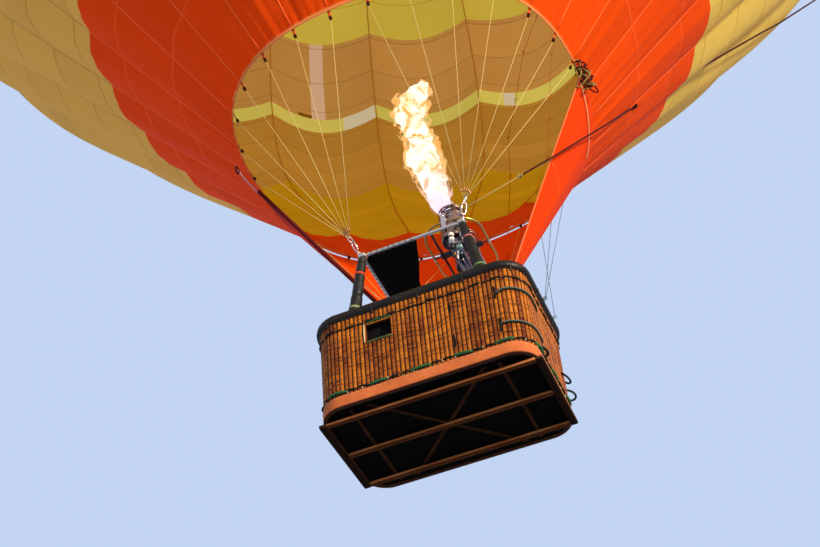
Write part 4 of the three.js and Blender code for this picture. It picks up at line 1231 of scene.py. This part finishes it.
def wickerCane():
    # varnished willow and palembang: thin weavers pass over and under upright stakes, each strand its own
    # shade
    material, add, coords = newMaterial("wickerCane")
    uv = add("UVMap", uv_map="UVMap")
    rib = add("SeparateXYZ", {0: uv})
    height = rib.node.outputs[1]
    wander = add("TexNoise", {"Vector": coords, "Scale": 9.0, "Detail": 3.0})
    shifted = add("Math", {0: wander, 1: 0.010, 2: height}, operation="MULTIPLY_ADD")
    strand = add("Math", {0: shifted, 1: 0.0085}, operation="DIVIDE")
    strandNumber = add("Math", {0: strand}, operation="FLOOR")
    strandPlace = add("Math", {0: strand}, operation="FRACT")
    ribNumber = add("Math", {0: rib}, operation="FLOOR")
    ribPlace = add("Math", {0: rib}, operation="FRACT")
    # strands are round: height of a half wave over each; stakes push the weavers out in the rib's middle
    round1 = add("Math", {0: strandPlace, 1: 3.14159}, operation="MULTIPLY")
    round2 = add("Math", {0: round1}, operation="SINE")
    parity = add("Math", {0: ribNumber, 1: strandNumber}, operation="ADD")
    parity = add("Math", {0: parity, 1: 1.0}, operation="PINGPONG")
    middle = add("Math", {0: ribPlace, 1: 0.5}, operation="SUBTRACT")
    middle = add("Math", {0: middle}, operation="ABSOLUTE")
    over = add("MapRange", {0: middle, 1: 0.5, 2: 0.12})
    lift = add("Math", {0: parity, 1: over}, operation="MULTIPLY")
    lift = add("Math", {0: lift, 1: 0.7, 2: round2}, operation="MULTIPLY_ADD")
    bump = add("Bump", {"Height": lift, "Strength": 0.9, "Distance": 0.004})
    # colour: amber, each stake and strand a shade of its own; painted shade, dark red-brown, in the gaps
    # between stakes and the grooves between strands
    ribShade = add("TexWhiteNoise", {"W": ribNumber}, noise_dimensions="1D")
    cell = add("CombineXYZ", {0: ribNumber, 1: strandNumber})
    cellShade = add("TexWhiteNoise", {"Vector": cell}, noise_dimensions="3D")
    stain = add("TexNoise", {"Vector": coords, "Scale": 3.5, "Detail": 5.0, "Roughness": 0.6})
    tone = add("Math", {0: ribShade, 1: 0.5, 2: stain}, operation="MULTIPLY_ADD")
    tone = add("Math", {0: cellShade, 1: 0.35, 2: tone}, operation="MULTIPLY_ADD")
    tone = add("MapRange", {0: tone, 1: 0.55, 2: 1.15})
    amber = add("Mix", {0: tone, 6: "6A2406", 7: "CE761A"}, 2, data_type="RGBA")
    gapShade = add("MapRange", {0: middle, 1: 0.26, 2: 0.44})
    grooveShade = add("MapRange", {0: round2, 1: 0.55, 2: 0.05})
    grooveShade = add("Math", {0: grooveShade, 1: 0.35}, operation="MULTIPLY")
    dark = add("Math", {0: gapShade, 1: grooveShade}, operation="MAXIMUM")
    # every 16 cm a pair of thicker weavers crosses the stakes, stained dark and worn away in places
    drift = add("TexNoise", {"Vector": coords, "Scale": 2.6, "Detail": 2.0})
    course = add("Math", {0: drift, 1: 0.16, 2: height}, operation="MULTIPLY_ADD")
    course = add("Math", {0: course, 1: 0.08}, operation="PINGPONG")
    course = add("Math", {0: course, 1: 0.055}, operation="SUBTRACT")
    course = add("Math", {0: course}, operation="ABSOLUTE")
    course = add("MapRange", {0: course, 1: 0.022, 2: 0.004})
    worn = add("TexNoise", {"Vector": coords, "Scale": 9.0, "Detail": 6.0, "Roughness": 0.7})
    worn = add("MapRange", {0: worn, 1: 0.34, 2: 0.62, 4: 0.78})
    course = add("Math", {0: course, 1: worn}, operation="MULTIPLY")
    dark = add("Math", {0: dark, 1: course}, operation="MAXIMUM")
    # the dark colour is painted shade in the gaps and grooves, and the stain of the thicker weavers
    base = add("Mix", {0: dark, 6: amber, 7: "1E0803"}, 2, data_type="RGBA")
    rough = add("MapRange", {0: dark, 3: 0.42, 4: 0.85})
    return finished(material, add("BsdfPrincipled", {
        "Base Color": base, "Roughness": rough, "Normal": bump, "Specular IOR Level": 0.2}))


def outsideHole(s, z):
    # true for grid cells that miss the step hole, from the distances and heights of the grid's lines
    x0, x1, z0, z1 = basket["hole"]
    middleS, middleZ = (s[1:] + s[:-1]) / 2, (z[1:] + z[:-1]) / 2
    inX = (middleS > nearSide(x0)) & (middleS < nearSide(x1))
    inZ = (middleZ > z0) & (middleZ < z1)
    return ~(inX[None] & inZ[:, None]).reshape(-1)


def makeWicker():
    cane = wickerCane()
    ribs, rows = basket["ribs"], basket["rows"]
    for name, perRib, inside in (("wickerOutside", basket["perRib"], False), ("wickerInside", 3, True)):
        u = np.arange(ribs * perRib + 1) / perRib
        s, z = u * around / ribs, np.linspace(basket["low"], basket["high"], rows)
        # out = round stake under the weave + weavers that swing in and out, in step on every second stake
        fraction = np.mod(u, 1)
        stake = np.sqrt(np.clip(1 - (2 * fraction - 1) ** 2, 0, 1))
        weave = 0.0013 * np.sin(2 * np.pi * z[:, None] / 0.034 + np.pi * np.floor(u)[None]) * stake[None]
        wander = 0.002 * np.sin(2.3 * s[None] + 3.1 * z[:, None]) * np.sin(np.pi * (z[:, None] - 0.05))
        out = -0.006 + 0.010 * stake[None] + weave + wander
        if inside:
            out = -basket["thick"] + 0.004 - 0.006 * stake[None] - weave + wander
        points = onWall(s[None, :-1], z[:, None], out[:, :-1])
        shape = gridShape(points, wrapColumns=True, u=u, v=z)
        shape = keepFaces(shape, outsideHole(s, z))
        makePiece(name, flipped(shape) if inside else shape, cane, replaces="basket_wall")
    return cane


def wallPath(places, count):
    # a smooth line through (distance, height, out) places, carried onto the wall
    table = smoothPath(places, count)
    return onWall(table[:, 0], table[:, 1], table[:, 2])


def twistedRope(name, colour, dark):
    # three-strand rope: the strands show as slanted grooves, darkened with painted shade
    return woven(name, dark, colour, {"Scale": 26.0, "Distortion": 1.5, "Detail": 1.0}, 0.75, 0.2,
                 {"Strength": 0.7, "Distance": 0.002})


# Rows of rope threaded through the weave: height, pitch, length that shows, radius, shift in pitches, slot
ropeRows = [
    (0.197, 0.40, 0.165, 0.0135, 0.0, 0), (0.184, 0.40, 0.120, 0.0080, 0.06, 2),
    (0.196, 0.40, 0.085, 0.0100, 0.37, 2), (0.199, 0.40, 0.080, 0.0095, 0.66, 2),
    (0.965, 0.21, 0.100, 0.0095, 0.0, 2), (0.960, 0.21, 0.060, 0.0085, 0.5, 2)]
tickPitch = 0.133
ropeDeep = -0.012
# Short vertical slots in the near side where the cylinder straps go through: x, lowest and highest z
strapSlots = [(0.341, 0.743, 0.845), (0.788, 0.731, 0.871), (0.795, 0.317, 0.466), (0.350, 0.304, 0.442)]


def ropeDashes(height, pitch, dash, radius, shift, slot):
    # one arch for every stretch that shows
    count = round(around / pitch)
    shapes = []
    for number in range(count):
        middle = (number + shift) * around / count + 0.012 * math.sin(5.1 * number)
        z = height + 0.005 * math.sin(2.7 * number + slot)
        half = dash / 2 * (1 + 0.12 * math.sin(3.3 * number))
        slope = 0.005 * math.cos(1.9 * number)
        places = [(middle - half - 0.012, z - slope, ropeDeep), (middle - half, z - slope, radius * 0.6),
                  (middle, z, radius + 0.002), (middle + half, z + slope, radius * 0.6),
                  (middle + half + 0.012, z + slope, ropeDeep)]
        shapes.append(tube(wallPath(places, 14), radius, slot=slot))
    return shapes


# Rope handles on the ends: right or left, y and z of the middle, reach, fall, half width, radius
ropeHandles = [
    (1, 0.42, 0.500, 0.062, 0.062, 0.075, 0.0105), (1, 0.53, 0.370, 0.085, 0.035, 0.070, 0.0105),
    (1, -0.30, 0.265, 0.045, 0.020, 0.070, 0.0130), (-1, 0.10, 0.930, 0.055, 0.030, 0.045, 0.0080),
    (-1, 0.20, 0.700, 0.040, 0.030, 0.040, 0.0070),
]


def makeRopes(ropeKinds, cane):
    # the kinds of rope are green, pale, black and grey
    shapes = [dash for row in ropeRows for dash in ropeDashes(*row)]
    # pale whippings that stand between the lower row's stretches
    count = round(around / tickPitch)
    for number in range(count):
        s, z = (number + 0.5) * around / count + 0.01 * math.sin(4 * number), ropeRows[0][0]
        places = [(s, z - 0.020, -0.004), (s + 0.003, z, 0.009), (s, z + 0.022, -0.004)]
        shapes.append(tube(wallPath(places, 8), 0.005, sides=6, slot=1))
    # a grey rope with a black one under it runs from each slot round the right corner
    for x, z, drop in ((0.79, 0.790, 0.030), (0.80, 0.400, 0.006)):
        for low, radius, slot in ((0.0, 0.0085, 3), (0.019, 0.0065, 2)):
            places = [(nearSide(x), z - low, -0.010), (nearSide(x + 0.03), z - low + 0.004, 0.012)]
            places += [(around + rightEnd(y), z - low + drop * share, out) for y, share, out in (
                (-0.72, 1, 0.013), (-0.40, 1, 0.013), (-0.30, 0.6, 0.012), (-0.24, 0.2, -0.010))]
            shapes.append(tube(wallPath(places, 60), radius, slot=slot))
    turn = np.linspace(-0.1, np.pi + 0.1, 15)
    for end, y, z, reach, fall, wide, radius in ropeHandles:
        s = rightEnd(y) if end > 0 else around / 2 + rightEnd(-y)
        out = reach * np.sin(turn) - 0.004
        places = np.stack([s - wide * np.cos(turn), z - fall * np.sin(turn), out], 1)
        shapes.append(tube(wallPath(places, 48), radius, sides=10, slot=2))
    makePiece("basketRopes", shapes, ropeKinds)
    # the slots: a dark webbing strap that dips into the wall at both ends
    straps = []
    for x, z0, z1 in strapSlots:
        s, reach = nearSide(x), z1 - z0
        places = [(s - 0.003, z0 - 0.008, -0.008), (s, z0, 0.004), (s + 0.006, z0 + reach * 0.5, 0.0065),
                  (s - 0.002, z1, 0.004), (s - 0.004, z1 + 0.008, -0.008)]
        straps.append(tube(wallPath(places, 24), 0.0105, sides=10, flat=0.35, across=(0, -1, 0)))
    makePiece("strapEnds", straps, webbing("strapBlack", "14110F"))
    # step hole: cane border, a pale strip on its left edge as painted light on the sunlit reveal, green rope
    # above and below it
    _, _, z0, z1 = basket["hole"]
    left, right = (nearSide(x) for x in basket["hole"][:2])
    loopCorners = [(left, z0, 0), (right, z0, 0), (right, z1, 0), (left, z1, 0)]
    loop = np.concatenate([
        straight(one, other, 12)[:-1] for one, other in zip(loopCorners, loopCorners[1:] + loopCorners[:1])])
    border = [tube(onWall(loop[:, 0], loop[:, 1], out), 0.0095, closed=True, across=(0, 1, 0))
              for out in (-0.002, -0.014, -0.026)]
    makePiece("holeBorder", border, cane)
    litRevealStrip = [(left - 0.012, z0 - 0.02, -0.004), (left - 0.010, (z0 + z1) / 2, 0.011),
                (left - 0.012, z1 + 0.03, -0.004)]
    strip = [tube(wallPath(litRevealStrip, 16), 0.008, slot=1)]
    for z in (z0 - 0.016, z1 + 0.014):
        places = [(left + 0.01, z, -0.01), (left + 0.03, z, 0.010), ((left + right) / 2, z + 0.004, 0.012),
                  (right - 0.02, z, 0.010), (right, z, -0.01)]
        strip.append(tube(wallPath(places, 24), 0.0075))
    makePiece("holeRopes", strip, ropeKinds[:2])


holeShadeSheet = {"halfWidth": 0.19, "top": 1.02, "low": 0.62, "y": -0.596, "sway": 0.010}


def makeHoleShadeSheet(cloth):
    # a black sheet hangs inside the step hole as painted shade, the dark of the basket's unlit inside: y =
    # place + sway * ripple
    x0, x1, _, _ = basket["hole"]
    x = np.linspace((x0 + x1) / 2 - holeShadeSheet["halfWidth"], (x0 + x1) / 2 + holeShadeSheet["halfWidth"], 30)
    z = np.linspace(holeShadeSheet["low"], holeShadeSheet["top"], 30)
    down = ((holeShadeSheet["top"] - z) / (holeShadeSheet["top"] - holeShadeSheet["low"]))[:, None]
    sway = holeShadeSheet["sway"] * down * ripple(14 * x[None] + 2 * down, 0.4)
    y = holeShadeSheet["y"] + sway - 0.028 * (1 - down) ** 2
    points = np.stack([np.broadcast_to(x[None], y.shape), y, np.broadcast_to(z[:, None], y.shape)], -1)
    piece = makePiece("stepHoleShadeSheet", gridShape(points), cloth)
    barY, barZ = y[-1, 0], holeShadeSheet["top"] + 0.004
    bar = tube(straight((x[0] - 0.01, barY, barZ), (x[-1] + 0.01, barY, barZ), 3), 0.009, sides=10)
    hooks = [tube(straight((at, barY, barZ), (at, -0.655, barZ), 3), 0.004) for at in (x[1], x[-2])]
    makePiece("shadeSheetBatten", [bar] + hooks, cloth)


rim = {"z": 1.126, "inset": 0.016, "radius": 0.0562, "sides": 24, "steps": 560}


def makeRim(leather):
    s = np.arange(rim["steps"]) * around / rim["steps"]
    path = onWall(s, rim["z"], -rim["inset"])
    # radius = pad - pinch at the sewn joins + wrinkles, deeper round the corners
    joinPlaces = np.arange(9) * around / 9 + 0.3
    pinch = sum(np.exp(-((s - at) / 0.010) ** 2) for at in joinPlaces)
    radius = rim["radius"] - 0.004 * pinch + 0.0009 * ripple(45 * s, 0.7) + 0.0006 * ripple(130 * s, 1.9)
    shape = tube(path, radius, sides=rim["sides"], closed=True, across=(0, 0, 1))
    piece = makePiece("rimPadding", shape, leather, replaces="rim_pad")
    # the leather's two edges meet in a laced seam under the rim's inner side, and a bead runs outside
    beads = []
    for turn, size in ((-0.62, 0.0045), (-2.45, 0.0055)):
        out = -rim["inset"] + (rim["radius"] + 0.001) * math.cos(turn)
        beads.append(tube(onWall(s, rim["z"] + (rim["radius"] + 0.001) * math.sin(turn), out), size,
                          closed=True, across=(0, 0, 1)))
    # straps that hold the rim down to the wall
    for number in range(14):
        place = (number + 0.35) * around / 14
        turn = np.linspace(0.1, -1.35, 9)
        points = onWall(np.full(9, place), rim["z"] + (rim["radius"] + 0.002) * np.sin(turn),
                        -rim["inset"] + (rim["radius"] + 0.002) * np.cos(turn))
        tail = onWall(np.full(3, place), np.array([1.055, 1.045, 1.038]), np.array([0.012, 0.007, -0.004]))
        line = np.concatenate([points[:6], tail])
        outward = onWall(place, 0.0, 1.0) - onWall(place, 0.0, 0.0)
        beads.append(tube(line, 0.009, flat=0.3, across=outward))
    makePiece("rimBeads", beads, leather)


# Rawhide skirt round the foot of the wall: outset and height of its section, up outside and down inside
skirtSection = [
    (0.0005, 0.1680), (0.0005, 0.0385), (-0.031, 0.0385), (-0.031, 0.0346), (0.0045, 0.0346),
    (0.0083, 0.0400), (0.0083, 0.1000), (0.0080, 0.1620), (0.0060, 0.1690)]


def rawHide():
    # untanned hide, shrunk on wet: hard, blotched and satin; painted shade darkens it almost to black along
    # its lower edge and the underside that turns in
    material, add, coords = newMaterial("rawHide")
    blotch = add("TexNoise", {"Vector": coords, "Scale": 4.5, "Detail": 5.0, "Roughness": 0.6})
    fine = add("TexNoise", {"Vector": coords, "Scale": 60.0, "Detail": 4.0})
    base = add("Mix", {0: blotch, 6: "90401E", 7: "D87840"}, 2, data_type="RGBA")
    up = add("SeparateXYZ", {0: coords}).node.outputs[2]
    # painted shade: below about 5 cm the hide goes almost black
    low = add("MapRange", {0: up, 1: 0.052, 2: 0.037, 4: 0.96})
    base = add("Mix", {0: low, 6: base, 7: "220C06"}, 2, data_type="RGBA")
    lift = add("Math", {0: blotch, 1: 2.0, 2: fine}, operation="MULTIPLY_ADD")
    bump = add("Bump", {"Height": lift, "Strength": 0.35, "Distance": 0.004})
    return finished(material, add("BsdfPrincipled", {
        "Base Color": base, "Roughness": 0.65, "Normal": bump, "Specular IOR Level": 0.12}))


def oiledWood(name, pale, dark, undersideShade=None):
    # oiled ash and ply: grain runs along the length, and painted shade darkens the faces underneath
    material, add, coords = newMaterial(name)
    stretched = add("Mapping", {"Vector": coords, "Scale": (2.0, 40.0, 40.0)})
    grain = add("TexNoise", {"Vector": stretched, "Scale": 1.0, "Detail": 5.0, "Distortion": 0.6})
    stain = add("TexNoise", {"Vector": coords, "Scale": 3.0, "Detail": 4.0})
    tone = add("Math", {0: grain, 1: stain}, operation="MULTIPLY")
    tone = add("MapRange", {0: tone, 1: 0.1, 2: 0.42})
    base = add("Mix", {0: tone, 6: dark, 7: pale}, 2, data_type="RGBA")
    if undersideShade:
        # painted shade: the lowest few millimetres, the faces underneath, go dark
        up = add("SeparateXYZ", {0: coords}).node.outputs[2]
        low = add("MapRange", {0: up, 1: 0.007, 2: 0.003, 4: 0.94})
        base = add("Mix", {0: low, 6: base, 7: undersideShade}, 2, data_type="RGBA")
    bump = add("Bump", {"Height": grain, "Strength": 0.4, "Distance": 0.002})
    return finished(material, add("BsdfPrincipled", {
        "Base Color": base, "Roughness": 0.85, "Normal": bump, "Specular IOR Level": 0.04}))


def bevelledBoard(half, wide, x, y, turned=False):
    # a long board with eased edges, a little narrower and thinner at its sawn ends
    low, high = 0.0004, 0.0336
    section = np.array([(-wide, low + 0.004), (-wide + 0.004, low), (wide - 0.004, low), (wide, low + 0.004),
                        (wide, high - 0.003), (wide - 0.003, high), (-wide + 0.003, high),
                        (-wide, high - 0.003)])
    length = np.array([-half, -half + 0.004, -half + 0.03, 0, half - 0.03, half - 0.004, half])
    pull = np.array([0.006, 0.002, 0, 0, 0, 0.002, 0.006])
    middle = np.array([0, (low + high) / 2])
    ring = middle + (section[None] - middle) * (1 - pull[:, None, None] / 0.04)
    points = np.stack([np.broadcast_to(length[:, None], ring.shape[:2]), ring[..., 0], ring[..., 1]], -1)
    board = withEnds(gridShape(points, wrapColumns=True), 7, 8)
    return placed(board, (x, y, 0), [(0, 1, 0), (-1, 0, 0), (0, 0, 1)] if turned else np.eye(3))


def makeSkirtAndRunners():
    s = np.arange(420) * around / 420
    outset, height = np.array(skirtSection).T
    top = height > 0.15
    wave = np.where(top[:, None], 0.003 * ripple(7 * s[None], 0.3) - 0.003, 0)
    points = onWall(s[None], height[:, None] + wave, outset[:, None])
    shape = gridShape(points, wrapRows=True, wrapColumns=True, u=np.arange(421) * around / 420)
    makePiece("rawhideSkirt", shape, rawHide(), replaces="leather_skirt")
    # saddle stitches along its upper edge
    stitches = []
    for number in range(120):
        at = (number + 0.5) * around / 120
        places = [(at - 0.015, 0.151, 0.006), (at - 0.012, 0.151, 0.0095), (at + 0.012, 0.151, 0.0095),
                  (at + 0.015, 0.151, 0.006)]
        stitches.append(tube(wallPath(places, 7), 0.0016, sides=6))
    makePiece("skirtStitches", stitches, webbing("waxedThread", "D8C39C", 0.002))
    wood = oiledWood("runnerWood", "C8844C", "8E4C28", "341608")
    endWood = oiledWood("endWood", "5A3A28", "3A2216", "180B05")
    bolt = flatMetal("rustyBolt", "5A3A2C", 0.6, 0.6)
    head = spun([(0.0005, -0.0015), (0.008, -0.0010), (0.009, 0.001), (0.0005, 0.001)], 12, slot=1)
    for name, y in (("near", -0.507), ("middle", 0.0), ("far", 0.507)):
        bolts = [placed(head, (x, y, 0.0016)) for x in (-0.98, -0.738, -0.24, 0.24, 0.712, 0.98)]
        makePiece("runner_" + name + "_wood", [bevelledBoard(1.0243, 0.0257, 0, y)] + bolts, [wood, bolt],
                  replaces="runner_" + name)
    for name, x in (("left", -1.06), ("right", 1.06)):
        makePiece("endBoard_" + name, bevelledBoard(0.5325, 0.0345, x, 0, turned=True), endWood,
                  replaces="end_board_" + name)
    # the floor's ply is coloured almost black: painted shade, as nothing lights its underside
    dress("basket_floor", oiledWood("floorPlyShade", "030201", "010101"))
    dress("floor_straps", oiledWood("strapWood", "38200E", "1C0E05"))


def makeCylindersAndSockets(leather):
    tank, dark = brushedSteel("tankAluminium", "B9BCC4", 0.4), flatMetal("tankValve", "A8843C", 0.35)
    strap = webbing("tankStrap", "6A2018")
    shell = [(0.001, 0.063), (0.10, 0.062), (0.122, 0.066), (0.136, 0.078), (0.1415, 0.100), (0.1415, 0.300),
             (0.1395, 0.303), (0.1415, 0.306), (0.1415, 0.830), (0.137, 0.862), (0.122, 0.890),
             (0.098, 0.906), (0.060, 0.916), (0.030, 0.920), (0.022, 0.924), (0.022, 0.940), (0.001, 0.940)]
    collar = spun([(0.100, 0.900), (0.104, 0.900), (0.104, 0.985), (0.100, 0.985)], 48, ring=True)
    tap = [spun([(0.001, 0.936), (0.016, 0.936), (0.018, 0.942), (0.018, 0.962), (0.012, 0.968),
                 (0.001, 0.968)], 20, slot=1),
           spun([(0.001, 0.968), (0.020, 0.969), (0.024, 0.974), (0.020, 0.981), (0.001, 0.982)], 8, slot=1)]
    belts = [spun([(0.1412, z), (0.1435, z), (0.1435, z + 0.04), (0.1412, z + 0.04)], 48, slot=2, ring=True)
             for z in (0.34, 0.74)]
    cylinder = joinShapes([spun(shell, 48), collar] + tap + belts)
    for name, signX, signY in corners:
        makePiece("tank_" + name, placed(cylinder, (signX * 0.872, signY * 0.190, 0)), [tank, dark, strap],
                  replaces="fuel_cylinder_" + name)
    socket = spun([(0.0475, 0.765), (0.0515, 0.765), (0.0515, 0.990), (0.0500, 0.994), (0.0475, 0.990)], 32,
                  ring=True)
    base = spun([(0.001, 0.762), (0.050, 0.762), (0.050, 0.768), (0.001, 0.768)], 32)
    shapes = []
    for _, signX, signY in corners:
        x, y = signX * 0.708, signY * 0.545
        shapes.append(placed(joinShapes([socket, base]), (x, y, 0)))
        for z in (0.80, 0.93):
            shapes.append(boxBetween((x - 0.036, signY * 0.590, z - 0.012),
                                     (x + 0.036, signY * 0.648, z + 0.012), 0.004))
    makePiece("uprightSockets", shapes, leather)


# Crown: the parachute valve, the tapes over it and the ring that joins them
crown = {
    "valveRadius": 2.9,
    "edgeRadius": 2.58,       # the valve's cloth is level beyond it, but for its lobes
    "drop": 0.12,
    "slack": 0.05,
    "ringRadius": 0.17,
    "ringTube": 0.007,
    "lineDrop": 4.2,
    "perGore": 10,
}


def crownHeight(radius):
    return envelope["mouthHeight"] + np.interp(-radius, -tape["r"][upperCurve], tape["h"][upperCurve])


def makeCrown():
    outer, top = crown["valveRadius"], envelope["upper"][-1][1]
    radius = np.concatenate([np.linspace(0.02, 0.3, 6), np.linspace(0.4, outer, 40)])
    gore = np.arange(envelope["gores"] * crown["perGore"]) / crown["perGore"]
    # shallow lobes between the tapes, on a cloth that follows the crown and is level at its edge
    lobes = 0.05 * np.sin(np.pi * np.mod(gore, 1))[None] * (radius / outer)[:, None] ** 2
    height = crownHeight(np.minimum(radius, crown["edgeRadius"]))[:, None] - crown["drop"]
    height = height + lobes - crown["slack"]
    points = polar(radius[:, None], tapeAngle(gore, top), height)[::-1]
    u = np.arange(len(gore) + 1) / crown["perGore"]
    shape = gridShape(points, wrapColumns=True, u=u, v=radius[::-1])
    valve = makePiece("valveCloth", withEnds(shape, len(radius), len(gore), first=False),
                      ripstopCloth("valveCloth", "E8551C", "E84A14", "F29A62"), body="valve",
                      replaces="parachute_valve")
    # shroud lines from the valve's edge gather under it in a ring
    low = crownHeight(0.1) - crown["drop"] - crown["lineDrop"]
    angles = tapeAngle(np.arange(envelope["gores"]), top)
    edgeHeight = float(crownHeight(crown["edgeRadius"]) - crown["drop"] - crown["slack"])
    line = tube(straight((0.05, 0, low), (outer - 0.02, 0, edgeHeight - 0.01), 3), 0.003, sides=6)
    gathered = ovalRing((0, 0, low), (1, 0, 0), (0, 1, 0), 0.05, 0.05, 0.006)
    makePiece("valveShroudLines", [turnedCopies(line, angles), gathered],
              webbing("shroudLine", "D8D2C0", 0.003), body="valve")
    # tapes: thin straps from the ring to the envelope's edge, following the crown
    r = np.linspace(crown["ringRadius"] - 0.012, envelope["crownHole"] - 0.004, 24)
    path = np.stack([r, np.zeros_like(r), crownHeight(r) - 0.004], 1)
    strap = tube(path, 0.014, flat=0.14, across=(0, 0, 1))
    ringPath = polar(crown["ringRadius"], fullTurn(48), float(crownHeight(crown["ringRadius"])) - 0.005)
    ring = tube(ringPath, crown["ringTube"], sides=12, closed=True, across=(0, 0, 1), slot=1)
    makePiece("crownTapes", [turnedCopies(strap, angles), ring], [webbing("crownTapeWeb", "E5DCC6"), steel],
              replaces="crown_ring_tapes")


cane = makeWicker()
makeRopes([twistedRope("greenRope", "35703E", "0C2412"), twistedRope("paleRope", "D9C79E", "8C7648"),
           twistedRope("blackRope", "141810", "040504"), twistedRope("greyRope", "6E7868", "1E241C")], cane)
makeHoleShadeSheet(heatCloth())
makeRim(greenLeather("rimLeather", "120A06", "241C14"))
makeSkirtAndRunners()
makeCylindersAndSockets(leather)
makeCrown()
print("basket and crown made")

# Lines: all run taut, from the links or the rim to places on the cloth, and one goes on into the air
lines = {
    "crown": {"colour": "3A0E0C", "radius": 0.0105, "pale": "9A8450"},
    "vent": {"colour": "B02418", "radius": 0.0050},
    "turning": {"colour": "E8743C", "radius": 0.0040},
    "mooring": {"colour": "5C7088", "radius": 0.0034},
    "webbing": {"colour": "E8A878"},
}
# Azimuth in degrees and height of the places where the crown line lies on the cloth
crownLineLies = [(34.2, 5.2), (35.4, 5.4), (39.2, 6.2), (42.0, 7.0), (45.2, 8.2), (47.8, 9.4), (51.5, 11.0)]
# The same for the two lines inside, each up the far wall
ventLies = [
    (93.0, 9.23), (94.2, 10.92), (95.5, 14.63), (94.2, 16.75), (92.3, 18.72), (89.7, 19.78), (88.5, 20.6)]
turningLies = [
    (88.2, 9.6), (89.3, 11.78), (90.1, 14.97), (89.8, 16.46), (89.7, 17.14), (88.9, 18.2), (88.0, 19.4)]


def onCloth(azimuth, z, out):
    # a place on the cloth's lobes, or on its tapes where out is negative
    h = z - envelope["mouthHeight"]
    along = alongAt(h)
    point = clothPoint(0.5 if out > 0 else 0.0, along, out)
    r, a = math.hypot(point[0], point[1]), math.radians(azimuth)
    return polar(r, a, point[2])


def knot(place, along, size, slot=0):
    # an overhand knot: a small closed trefoil, (sin t + 2 sin 2t, cos t - 2 cos 2t, -sin 3t) a third as big
    turn = fullTurn(48)
    trefoil = np.stack([
        np.sin(turn) + 2 * np.sin(2 * turn), np.cos(turn) - 2 * np.cos(2 * turn), -np.sin(3 * turn)], 1)
    along = np.array(along, float) / np.linalg.norm(along)
    side = np.cross(along, (0.3, 0.2, 1))
    side /= np.linalg.norm(side)
    path = np.array(place) + trefoil / 3 * size @ np.stack([side, along, np.cross(side, along)])
    return tube(path, size * 0.34, closed=True, slot=slot)


def makeLines():
    kind = {name: webbing(name + "Line", made["colour"], 0.003) for name, made in lines.items()}
    gather = np.array(rigging["gather"])
    start = np.array([0.594, -0.593, 2.112])
    # crown line: from the near right links past the scoop's edge and the hem, over the cloth and off into
    # the air beyond the picture, where it ends in a loop
    bend = [(1.437, 0.141, 3.205), (2.021, 0.870, 4.240)]
    lies = [onCloth(azimuth, z, 0.022) for azimuth, z in crownLineLies]
    end = np.array([6.165, 9.775, 15.910])
    reach = np.array(bend[0]) - start
    tied = start + 0.62 * reach
    radius = lines["crown"]["radius"]
    swell = np.linspace(0.9, 1.5, 3 + len(lies) + 1)
    shapes = [tube(straight(start, tied, 3), 0.6 * radius, slot=1), knot(tied, reach, 0.030, 1),
              tube(np.array([tied, *bend, *lies, end]), radius * swell),
              knot(lies[0], lies[1] - lies[0], 0.045),
              ovalRing(end + 0.07 * (end - lies[-1]) / np.linalg.norm(end - lies[-1]), end - lies[-1],
                       (0, 0, 1), 0.08, 0.045, 1.5 * radius)]
    makePiece("crownLine", shapes, [kind["crown"], webbing("crownLineEnd", lines["crown"]["pale"])])
    for name, table in (("vent", ventLies), ("turning", turningLies)):
        lies = [onCloth(azimuth, z, -0.030) for azimuth, z in table]
        shapes = [tube(np.array([gather, *lies]), lines[name]["radius"])]
        shapes += [ovalRing(place, (0, 0, 1), (1, 0, 0), 0.03, 0.03, 0.004, 6) for place in lies[1:]]
        makePiece(name + "Line", shapes, kind[name])
    # three thin lines run from the rim's right end up behind the mouth
    shapes = []
    for foot, azimuth in (((1.112, -0.01, 1.160), 66), ((1.112, 0.01, 1.160), 61),
                          ((1.112, 0.30, 1.160), 72)):
        top = onCloth(azimuth, 4.8, 0.010)
        shapes.append(tube(straight(foot, top, 3), lines["mooring"]["radius"], sides=6))
        shapes.append(ovalRing(foot, (1, 0, 0.2), (0, 0, 1), 0.016, 0.016, 0.0035, 6))
        shapes.append(ovalRing(top, (0, 0, 1), (0, 1, 0), 0.02, 0.02, 0.0035, 6))
    makePiece("mooringLines", shapes, kind["mooring"])
    # at the mouth's right a bundle of dark cord is lashed to the hem, and a pale strap runs along the scoop
    shapes = []
    for number in range(15):
        angle = math.radians(-4.0 + 0.75 * number)
        r = (mouth["radius"] + 0.035 + 0.025 * math.sin(5 * number)) * squared(angle)
        middle = polar(r, angle, 4.19 + 0.045 * math.cos(4 * number))
        lean = (0.9 * math.sin(3 * number), 0.9 * math.cos(2 * number), 1)
        shapes.append(ovalRing(middle, lean, (1, 0.3, 0.2), 0.085 + 0.018 * (number % 4), 0.030, 0.0085, 8))
        shapes[-1]["slots"] += number % 3 == 1
    angle = np.radians(np.linspace(1.0, 31.0, 30))
    path = scoopPoint(angle, np.linspace(0.030, 0.082, 30), 0.016)
    shapes.append(tube(path, 0.009, flat=0.4, across=(0.7, 0.1, -0.7), slot=2))
    # on the left a dark ring on a pale lilac strap that is sewn along under the hem
    angle = np.radians(np.linspace(177, 197, 20))
    r = (mouth["radius"] + 0.020) * squared(angle)
    path = polar(r, angle, np.linspace(4.215, 3.95, 20))
    shapes.append(tube(path, 0.014, flat=0.3, across=(1, 0.1, 0), slot=3))
    shapes.append(ovalRing(path[-1] + (0, -0.02, -0.035), (0, 0.3, 1), (0, 1, 0), 0.046, 0.040, 0.009, 10))
    webs = [kind["crown"], webbing("oliveCord", "8A7A3C"), kind["webbing"], webbing("lilacStrap", "C8BCD8")]
    makePiece("hemLashing", shapes, webs)


makeLines()
print("lines made")
